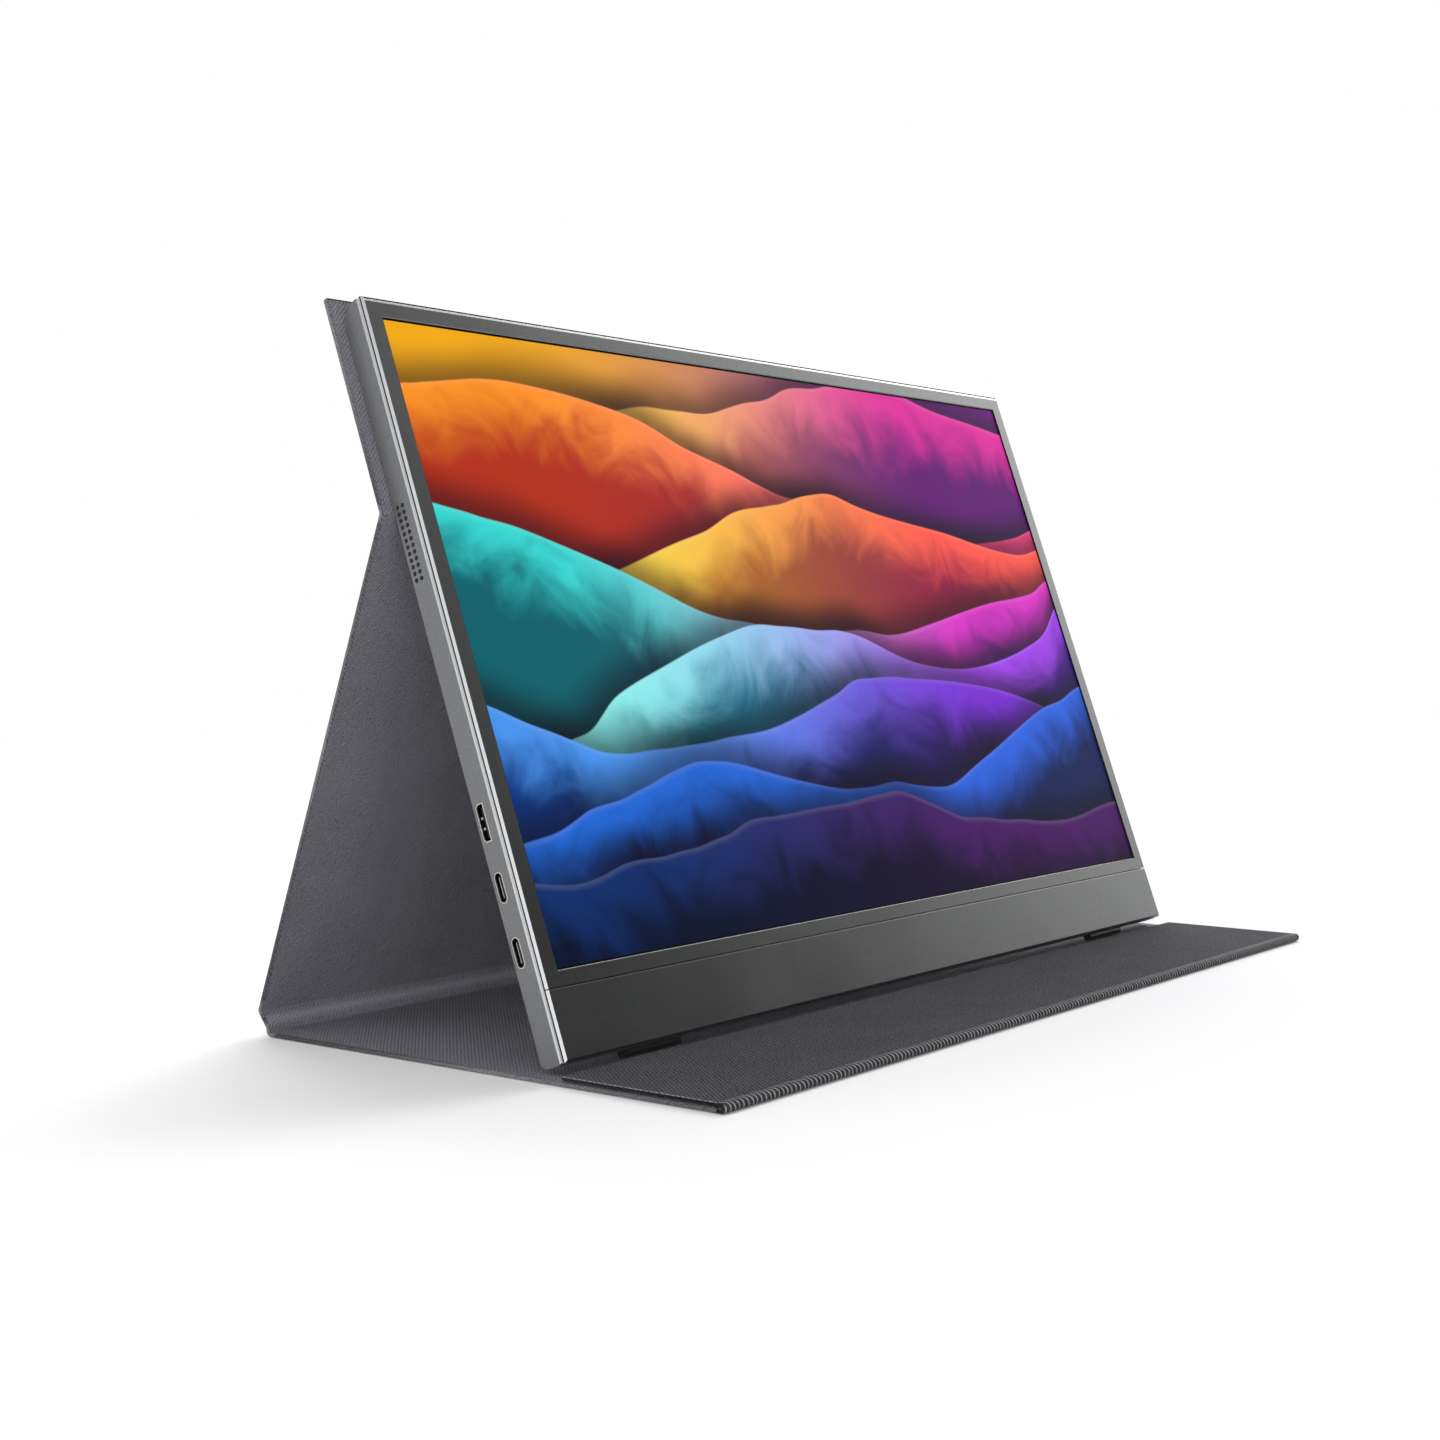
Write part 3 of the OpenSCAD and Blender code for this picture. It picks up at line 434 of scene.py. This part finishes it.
to_slant = slant - 90.0
to_leg = leg_heading - slant
to_back = back_lean - leg_heading
cover_strips = [
    # name, runs and bends, the body it rides on or the two bodies a fold strip lies between
    ("flap", [flap_len - front_reach], ("flap",)),
    ("front_fold", [front_reach, (180.0, front_r), front_reach], ("base", "flap")),
    ("base", [base_fold.x - front_fold.x - front_reach - fold_reach], ("base",)),
    ("base_fold", [
        fold_reach - corner(90), (90.0, pivot_n), drop_len - corner(90) - corner(to_slant),
        (to_slant, pivot_n), slant_len / 2 - corner(to_slant),
    ], ("base", "spine")),
    ("leg_fold", [
        slant_len / 2 - corner(to_leg), (to_leg, pivot_n), fold_reach - corner(to_leg),
    ], ("spine", "leg")),
    ("leg", [leg_line.length - 2 * fold_reach], ("leg",)),
    ("back_fold", [
        fold_reach - corner(to_back), (to_back, pivot_n), fold_reach - corner(to_back),
    ], ("leg", "back_panel")),
    ("back_panel", [back_len - fold_reach], ("back_panel",)),
]
spine_middle = sum(walk((0, 0), 0.0, moves)[0][-1][2] for _, moves, _ in cover_strips[:4]) / mm
outer_cloth = woven_cloth("woven polyester, outer", "#66646a", "#201f23", 1.0, edge_sheen=0.5)
flap_cloth = woven_cloth("woven polyester, flap", "#5d5c5f", "#111113", 0.8, 1.7, 0.8)
lining_cloth = woven_cloth(
    "woven polyester, lining", "#9c9aa3", "#403e45", band=(spine_middle, 2.2),
)
# The rounded front fold: ribs of light threads over dark gaps, lighter than the flap as a painted
# highlight of the fold.
fold_highlight_cloth = ribbed_cloth(
    "woven polyester, front fold, painted highlight", "#96959a", "#2a292d", 1.9, 0.55, 0.25,
)
# Dark cloth for the side faces of the flap and front fold: painted shade of the edge, on a fine
# rib.
shaded_edge_cloth = ribbed_cloth("woven polyester, edge in painted shade", "#26252a", "#121114", 1.0, 0.3, 0.4)
stands_for = {
    "flap_outer": ["flap_fabric"], "flap_lining": ["flap_lining"],
    "front_fold_outer": ["front_fold_strip"],
    "base_outer": ["base_fabric"], "base_lining": ["base_lining"],
    "base_fold_outer": ["base_fold_strip", "spine_fabric", "spine_board"],
    "base_fold_lining": ["spine_lining"], "leg_fold_outer": ["leg_fold_strip"],
    "leg_outer": ["leg_fabric"], "leg_lining": ["leg_lining"],
    "back_fold_outer": ["back_fold_strip"],
    "back_panel_outer": ["back_panel_fabric"], "back_panel_lining": ["back_panel_lining"],
}
finish_of = {
    # cloth of the outer side and of the lining, and their slots; the rest is plain woven cloth
    "front_fold": (fold_highlight_cloth, None, "fold_fabric", None),
    "flap": (flap_cloth, flap_cloth, "cover_fabric", "cover_lining"),
    "leg_fold": (outer_cloth, lining_cloth, "fold_fabric", "cover_lining"),
    "back_fold": (outer_cloth, lining_cloth, "fold_fabric", "cover_lining"),
}
plain_finish = (outer_cloth, lining_cloth, "cover_fabric", "cover_lining")


lining_side = 0.7 * mm
lining_rise = 0.08 * mm
lining_sunk = 0.3 * mm
flap_gap = 0.35 * mm
start, heading, length = Vector((front_fold.x + flap_len, front_fold.y + front_r)), 180.0, 0.0
for name, moves, bodies in cover_strips:
    whole, _ = walk(start, heading, moves)
    inner = panel_t / 2 - (flap_gap if name == "flap" else 0.0)
    outer_finish, lining_finish, outer_slot, lining_slot = finish_of.get(name, plain_finish)
    layers = [
        ("outer", 0.0, 0.0, cover_half, -panel_t / 2, inner, outer_finish, outer_slot),
    ]
    if lining_finish:
        layers.append((
            "lining", lining_side if name == "flap" else 0.0,
            lining_side if name == "back_panel" else 0.0, cover_half - lining_side,
            inner - lining_sunk, inner + lining_rise, lining_finish, lining_slot,
        ))
    for layer, cut_start, cut_end, half, low, high, cloth, slot in layers:
        runs = list(moves)
        runs[0] -= cut_start
        runs[-1] -= cut_end
        begin = start + heading_way(heading) * cut_start
        shape, stations = cover_strip(begin, heading, runs, half, low, high)
        joined = [stations[0], stations[-1]]
        free_end = {"flap": stations[0], "back_panel": stations[-1]}.get(name)
        if free_end is not None:
            joined.remove(free_end)
        finish_edges(shape, joined, free_end, min(rim_round, (high - low) * rim_share))
        lay_cloth(shape, stations, length + cut_start)
        full_name = f"{name}_{layer}"
        mesh = bpy.data.meshes.new(full_name)
        mesh.materials.append(cloth)
        mesh.materials.append(shaded_edge_cloth)
        for face in shape.faces:
            face.smooth = True
            # The side faces of the flap and front fold take the dark edge cloth, a painted shade.
            if name in ("flap", "front_fold") and abs(face.normal.x) > 0.9:
                face.material_index = 1
        shape.to_mesh(mesh)
        shape.free()
        made = new_object(f"{full_name}_cloth", mesh)
        made.modifiers.new("even shading", "WEIGHTED_NORMAL")
        if len(bodies) == 1:
            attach(made, bodies[0])
        else:
            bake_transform(made)
        if full_name in stands_for:
            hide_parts(*stands_for[full_name])
    start, heading = whole[-1][0], whole[-1][1]
    length += whole[-1][2]


# Casing
# Machined aluminium parts, blasted and anodised dark grey. The bevels down the sides and round the
# shell's rim are cut after anodising, so they shine as thin bright lines, and so do the fine
# chamfers of the openings.
tilt = math.radians(20)
up_face = Vector((0, math.sin(tilt), math.cos(tilt)))
out_face = Vector((0, -math.cos(tilt), math.sin(tilt)))
face_low = Vector((0, -31.0748 * mm, 6.2 * mm))
side_from = 177.6 * mm
line_back = 1.15 * mm - face_low.dot(out_face)
face_start = face_low.dot(up_face)
top_line, top_line_half = face_start + 224.0 * mm, 0.33 * mm
# Painted highlights: bright lines on the flat face at its top edge and under the chin's seam.
painted_highlight_lines = [
    # middle, half width, colour
    (top_line, top_line_half, "#eeeeef"),
    (face_start + 19.3 * mm, 0.15 * mm, "#9a9a9b"),
]
bevel_turn, bevel_spread = 0.707, 0.06
bevel_facing, wall_facing, front_facing = 0.6, 0.9, 0.98
grain_scale = 1500.0
plain_shine = 0.5
cut_roughness = 0.24


def bevel_places(tree, coords):
    """How much a point looks sideways from the casing's sides and how far it is up the face, and
    from these where the bright side bevels are and where the top bevel is painted black as seam
    shade."""
    turned = along(tree, coords["Normal"], out_face)
    turned = maths(tree, "COMPARE", turned, bevel_turn, bevel_spread)
    sideways = maths(tree, "ABSOLUTE", along(tree, coords["Normal"], (1.0, 0.0, 0.0)))
    out_x = maths(tree, "ABSOLUTE", along(tree, coords["Object"], (1.0, 0.0, 0.0)))
    at_side = maths(tree, "MULTIPLY", sideways, maths(tree, "GREATER_THAN", out_x, side_from))
    cut = maths(tree, "MULTIPLY", turned, maths(tree, "GREATER_THAN", at_side, bevel_facing))
    rise = along(tree, coords["Object"], up_face)
    upward = along(tree, coords["Normal"], up_face)
    upward = maths(tree, "GREATER_THAN", upward, bevel_facing)
    at_top = maths(tree, "GREATER_THAN", rise, top_line)
    painted_seam_shade = maths(tree, "MULTIPLY", maths(tree, "MULTIPLY", turned, upward), at_top)
    return at_side, rise, cut, painted_seam_shade


def face_lines(tree, coords, at_side, rise, tint, painted_seam_shade):
    """The lines of the front plates. Their side walls are pale, with a black line just behind the
    bevel, painted shade of the seam. Painted highlights run as bright lines along the face's top
    edge and under the seam above the chin, and above the top line the face is painted black as
    seam shade."""
    back = along(tree, coords["Object"], -out_face)
    wall = maths(tree, "GREATER_THAN", at_side, wall_facing)
    tint = mixed(tree, wall, tint, linear("#b8b9bb"))
    seam_shade_line = maths(tree, "MULTIPLY", wall, maths(tree, "LESS_THAN", back, line_back))
    frontal = along(tree, coords["Normal"], out_face)
    frontal = maths(tree, "GREATER_THAN", frontal, front_facing)
    for middle, half, colour in painted_highlight_lines:
        at_line = maths(tree, "MULTIPLY", frontal, maths(tree, "COMPARE", rise, middle, half))
        tint = mixed(tree, at_line, tint, linear(colour))
    above = maths(tree, "GREATER_THAN", rise, top_line + top_line_half)
    above = maths(tree, "MULTIPLY", frontal, above)
    painted_seam_shade = maths(tree, "MAXIMUM", painted_seam_shade, maths(tree, "MAXIMUM", seam_shade_line, above))
    return tint, painted_seam_shade


def metal(name, colour, roughness, bevel_colour=None, faces=False, metallic=1.0, speckle=0.12):
    """Blasted metal with a fine grain. A casing part has a bevel colour and black painted seam
    shade at its top, and a front plate has its painted highlight lines too."""
    made, tree, out = new_material(name)
    coords = add(tree, "ShaderNodeTexCoord").outputs
    grain = add(tree, "ShaderNodeTexNoise", {"Vector": coords["Object"], "Scale": grain_scale})
    patch = add(tree, "ShaderNodeTexNoise", {"Vector": coords["Object"], "Scale": 25.0})
    speck = remap(tree, grain.outputs["Fac"], 0.3, 0.7, 1 - speckle, 1 + speckle)
    rough = remap(tree, patch.outputs["Fac"], 0.3, 0.7, roughness - 0.02, roughness + 0.02)
    tint = add(
        tree, "ShaderNodeVectorMath", {0: linear(colour)[:3], "Scale": speck}, operation="SCALE",
    ).outputs[0]
    shine = plain_shine
    if bevel_colour:
        at_side, rise, cut, painted_seam_shade = bevel_places(tree, coords)
        if faces:
            tint, painted_seam_shade = face_lines(tree, coords, at_side, rise, tint, painted_seam_shade)
        bare = maths(tree, "SUBTRACT", 1.0, painted_seam_shade)
        metallic = maths(tree, "MULTIPLY", bare, metallic)
        shine = maths(tree, "MULTIPLY", bare, plain_shine)
        # Painted shade of the seams is black and not metallic.
        tint = mixed(tree, painted_seam_shade, tint, linear("#161617"))
        tint = mixed(tree, cut, tint, linear(bevel_colour))
        rough = add(tree, "ShaderNodeMix", {0: cut, 2: rough, 3: cut_roughness}).outputs[0]
    bump = add(tree, "ShaderNodeBump", {
        "Height": grain.outputs["Fac"], "Distance": 0.002 * mm, "Strength": 0.5,
    })
    shader = add(tree, "ShaderNodeBsdfPrincipled", {
        "Metallic": metallic, "Roughness": rough, "Normal": bump.outputs[0], "Base Color": tint,
        "Specular IOR Level": shine,
    })
    tree.links.new(shader.outputs[0], out.inputs["Surface"])
    return made


def dress(node, *materials):
    """Gives a CAD node its finish, and a second one for cut edges."""
    mesh = frame["nodes"][node].data
    mesh.materials.clear()
    for material in materials:
        mesh.materials.append(material)


def cut_edges(node, width):
    """A fine chamfer on a CAD node's sharp edges, in its second finish."""
    made = frame["nodes"][node]
    whole = made.modifiers.new("whole faces", "DECIMATE")
    whole.decimate_type = "DISSOLVE"
    whole.angle_limit = math.radians(0.3)
    edge = made.modifiers.new("cut edges", "BEVEL")
    edge.width = width
    edge.segments = 2
    edge.limit_method = "ANGLE"
    edge.angle_limit = math.radians(35)
    edge.use_clamp_overlap = False
    edge.harden_normals = True
    edge.material = 1


face_aluminium = metal(
    "anodised aluminium, face", "#6a6b6b", 0.27, "#a9aaac", faces=True, speckle=0.07,
)
shell_aluminium = metal("anodised aluminium, shell", "#6d6e70", 0.42, "#a9aaac", metallic=0.5)
bright_cut = metal("aluminium, bright-cut edge", "#a9aaac", 0.25, speckle=0.03)
dress("front_bezel", face_aluminium, face_aluminium)
dress("chin_plate", face_aluminium, bright_cut)
dress("rear_shell", shell_aluminium, bright_cut)
cut_edges("front_bezel", 0.06 * mm)
cut_edges("chin_plate", 0.09 * mm)
cut_edges("rear_shell", 0.1 * mm)


# Screen
# A glass panel with a matt film, lit from behind. It shows a wallpaper of layered silk waves, and
# its border outside the lit area is black.
lit_w, lit_h, lit_v = 344.16 * mm, 193.59 * mm, 24.9 * mm
lit_low = face_low + up_face * lit_v
crest_width, shadow_width, edge_soft = 0.012, 0.08, 0.0015
crest_share, shadow_share = 0.55, 0.7
waves = [
    # height, slope, swell, waves, start, then colours: left light and deep, right light and deep
    (0.93, 0.03, 0.06, 0.8, 0.1, "#ffd21c", "#d97e08", "#e02a9c", "#5e0a70"),
    (0.80, -0.05, 0.08, 0.9, 0.55, "#ff9420", "#b32f16", "#ff3f86", "#6d0a4a"),
    (0.69, 0.08, 0.07, 1.1, 0.2, "#f6dc4a", "#b97f0e", "#ff5a4c", "#8e1040"),
    (0.58, -0.04, 0.09, 0.85, 0.75, "#37d9d4", "#07616c", "#dc30c6", "#560a76"),
    (0.46, 0.09, 0.07, 1.2, 0.4, "#8df0ee", "#0c7f90", "#a544ee", "#340a70"),
    (0.36, -0.06, 0.08, 1.0, 0.05, "#4a94ee", "#06347c", "#7a2ad4", "#22054e"),
    (0.25, 0.05, 0.06, 1.3, 0.6, "#1f68d4", "#051c4a", "#2a62dc", "#061c52"),
    (0.15, -0.03, 0.05, 1.1, 0.3, "#0c2f6c", "#040f2a", "#470c62", "#15022a"),
]


def wallpaper(name):
    """The waves from the top down, each with a light crest and a shadow on the one behind."""
    made, tree, out = new_material(name)
    place = add(tree, "ShaderNodeTexCoord").outputs["Object"]
    across = maths(tree, "DIVIDE", along(tree, place, (1.0, 0.0, 0.0)), lit_w / 2)
    height = maths(tree, "SUBTRACT", along(tree, place, up_face), lit_low.dot(up_face))
    rise = maths(tree, "DIVIDE", height, lit_h)
    drift = add(tree, "ShaderNodeTexNoise", {
        "Vector": place, "Scale": 9.0, "Detail": 1.5, "Distortion": 0.6,
    }).outputs["Fac"]
    silk = add(tree, "ShaderNodeTexNoise", {
        "Vector": place, "Scale": 26.0, "Detail": 4.0, "Distortion": 2.2,
    }).outputs["Fac"]
    warp = maths(tree, "MULTIPLY_ADD", drift, 0.16, -0.08)
    side = remap(tree, across, -0.8, 0.6, curve="SMOOTHSTEP")
    picture = mixed(tree, side, linear("#f2a90a"), linear("#7a0c8c"))
    for level, slope, swell, count, begin, left, left_deep, right, right_deep in waves:
        turn = maths(tree, "MULTIPLY_ADD", across, math.pi * count, 2 * math.pi * begin)
        curve = maths(tree, "MULTIPLY_ADD", maths(tree, "SINE", turn), swell, level)
        curve = maths(tree, "ADD", maths(tree, "MULTIPLY_ADD", across, slope, curve), warp)
        depth = maths(tree, "SUBTRACT", curve, rise)
        light = mixed(tree, side, linear(left), linear(right))
        deep = mixed(tree, side, linear(left_deep), linear(right_deep))
        fold = maths(tree, "MULTIPLY_ADD", silk, 0.16, maths(tree, "SUBTRACT", depth, 0.075))
        sheet = mixed(tree, remap(tree, fold, 0.0, 0.15, curve="SMOOTHSTEP"), light, deep)
        crest = remap(tree, depth, crest_width, 0.0, 0.0, crest_share, "SMOOTHSTEP")
        sheet = mixed(tree, crest, sheet, mixed(tree, 0.08, light, linear("#fff4ea")))
        shadow = remap(tree, depth, -shadow_width, 0.0, 0.0, shadow_share, "SMOOTHSTEP")
        behind = mixed(tree, shadow, picture, linear("#0a0214"))
        picture = mixed(tree, remap(tree, depth, -edge_soft, edge_soft), behind, sheet)
    wide = maths(tree, "LESS_THAN", maths(tree, "ABSOLUTE", across), 1.0)
    tall = maths(tree, "COMPARE", rise, 0.5, 0.5)
    shown = mixed(tree, maths(tree, "MULTIPLY", wide, tall), (0, 0, 0, 1), picture)
    shader = add(tree, "ShaderNodeBsdfPrincipled", {
        "Base Color": linear("#050506"), "Roughness": 0.4, "IOR": 1.5,
        "Specular IOR Level": 0.02, "Emission Color": shown, "Emission Strength": 1.0,
    })
    tree.links.new(shader.outputs[0], out.inputs["Surface"])
    return made


dress("lcd_glass", wallpaper("lit screen behind matt glass"))


# Sockets
# Folded steel shells, nickel-plated: the rim is bright and the inside is painted black as the
# socket's shade. The plastic tongues carry bright contact edges, two thin lines on USB-C and
# two dots on mini HDMI.
half_w = 178.75 * mm
mouth_x = -half_w + 0.12 * mm


def at_monitor(x, d, v):
    """A point given across, back from the face and up the face, in metres."""
    return face_low + Vector((x, 0, 0)) - out_face * d + up_face * v


def box_piece(name, boxes, material, body):
    """One piece of boxes, each between two corners in the monitor's own axes in millimetres."""
    shape = bmesh.new()
    for low, high in boxes:
        made = bmesh.ops.create_cube(shape, size=1.0)["verts"]
        size = [b - a for a, b in zip(low, high)]
        middle = [(a + b) / 2 for a, b in zip(low, high)]
        bmesh.ops.scale(shape, verts=made, vec=size)
        bmesh.ops.translate(shape, verts=made, vec=middle)
    for vert in shape.verts:
        vert.co = at_monitor(*(vert.co * mm))
    bmesh.ops.recalc_face_normals(shape, faces=shape.faces)
    mesh = bpy.data.meshes.new(name)
    shape.to_mesh(mesh)
    shape.free()
    mesh.materials.append(material)
    made = new_object(name, mesh)
    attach(made, body)


nickel, tree, out = new_material("nickel-plated steel, painted shade inside")
place = add(tree, "ShaderNodeTexCoord").outputs["Object"]
scratch = add(tree, "ShaderNodeTexNoise", {"Vector": place, "Scale": 900.0, "Detail": 3.0})
# Deeper than the mouth the steel is painted black: painted shade of the socket's inside.
inside = remap(tree, along(tree, place, (1.0, 0.0, 0.0)), mouth_x + 0.1 * mm, mouth_x + 0.4 * mm)
shader = add(tree, "ShaderNodeBsdfPrincipled", {
    "Base Color": mixed(tree, inside, linear("#bdbcb8"), linear("#0b0b0c")),
    "Metallic": maths(tree, "SUBTRACT", 1.0, inside),
    "Roughness": remap(tree, scratch.outputs["Fac"], 0.3, 0.7, 0.22, 0.32),
})
tree.links.new(shader.outputs[0], out.inputs["Surface"])
for node in ("usb_c_port_lower", "usb_c_port_upper", "mini_hdmi_port"):
    dress(node, nickel, nickel)
    cut_edges(node, 0.07 * mm)

contact_metal = metal("nickel-plated contacts", "#b4b3b0", 0.35, speckle=0.05)
contact_front = mouth_x / mm + 0.6
contact_end = contact_front + 0.6
contacts = []
contact_rows = [
    # heights up the face, half height, nearest and farthest distance from the face
    ((31.7, 50.3), 2.9, 7.1, 7.32),
    ((67.4, 70.4), 0.35, 7.35, 7.95),
]
for heights, half, near_face, far_face in contact_rows:
    for v in heights:
        contacts.append(((contact_front, near_face, v - half), (contact_end, far_face, v + half)))
box_piece("socket_contacts", contacts, contact_metal, "monitor")


# Inside parts, feet and controls
# The feet and the tape are matt black; the dial is notched plastic and the power button is
# anodised like the shell. The rest is out of sight and has the usual look of its material.
def plain(name, colour, roughness, metallic=0.0):
    """One even colour with a fine grain."""
    made, tree, out = new_material(name)
    place = add(tree, "ShaderNodeTexCoord").outputs["Object"]
    noise = add(tree, "ShaderNodeTexNoise", {"Vector": place, "Scale": 900.0, "Detail": 3.0})
    speck = remap(tree, noise.outputs["Fac"], 0.3, 0.7, 0.92, 1.08)
    tint = add(
        tree, "ShaderNodeVectorMath", {0: linear(colour)[:3], "Scale": speck}, operation="SCALE",
    ).outputs[0]
    bump = add(tree, "ShaderNodeBump", {
        "Height": noise.outputs["Fac"], "Distance": 0.02 * mm, "Strength": 0.6,
    })
    shader = add(tree, "ShaderNodeBsdfPrincipled", {
        "Metallic": metallic, "Roughness": roughness, "Normal": bump.outputs[0],
        "Base Color": tint,
    })
    tree.links.new(shader.outputs[0], out.inputs["Surface"])
    return made


finishes = [
    (plain("black rubber, smooth", "#1a1a1c", 0.32), ["rubber_feet"]),
    (plain("black foam tape", "#101011", 0.8), ["bezel_tape"]),
    (plain("zinc-plated steel", "#b4b4b2", 0.3, 1.0), [
        "panel_screws", "board_screws", "power_switch", "backlight_tray", "shell_magnets",
        "closing_magnets", "cover_magnets",
    ]),
    (plain("black nylon", "#0e0e0f", 0.6), [
        "usb_c_tongues", "mini_hdmi_tongue", "audio_jack", "speaker_left", "speaker_right",
        "jog_switch", "scaler_chip", "board_components", "display_cable", "speaker_gauze",
    ]),
    (plain("green solder mask", "#1f5a3a", 0.45), [
        "panel_driver_board", "main_board", "button_board",
    ]),
    (plain("amber polyimide", "#6b4619", 0.4), ["lcd_flex_tails", "button_flex"]),
    (plain("white film", "#e6e8ea", 0.5), ["diffuser_films", "reflector_sheet", "light_guide"]),
    (plain("yellow lamp resin", "#e9d98a", 0.4), ["led_bar"]),
    (plain("grey silicone pad", "#8fa3b8", 0.7), ["thermal_pad"]),
    (plain("red wire sleeve", "#7a1f1f", 0.5), ["speaker_leads"]),
    (plain("bookbinding board", "#8d7b62", 0.9), [
        "base_board", "flap_board", "spine_board", "leg_board", "back_panel_board",
    ]),
    (plain("dark acetal", "#3c3d40", 0.45), ["dial_carrier", "menu_dial"]),
    (shell_aluminium, ["power_button"]),
]
for finish, nodes in finishes:
    for node in nodes:
        dress(node, finish)
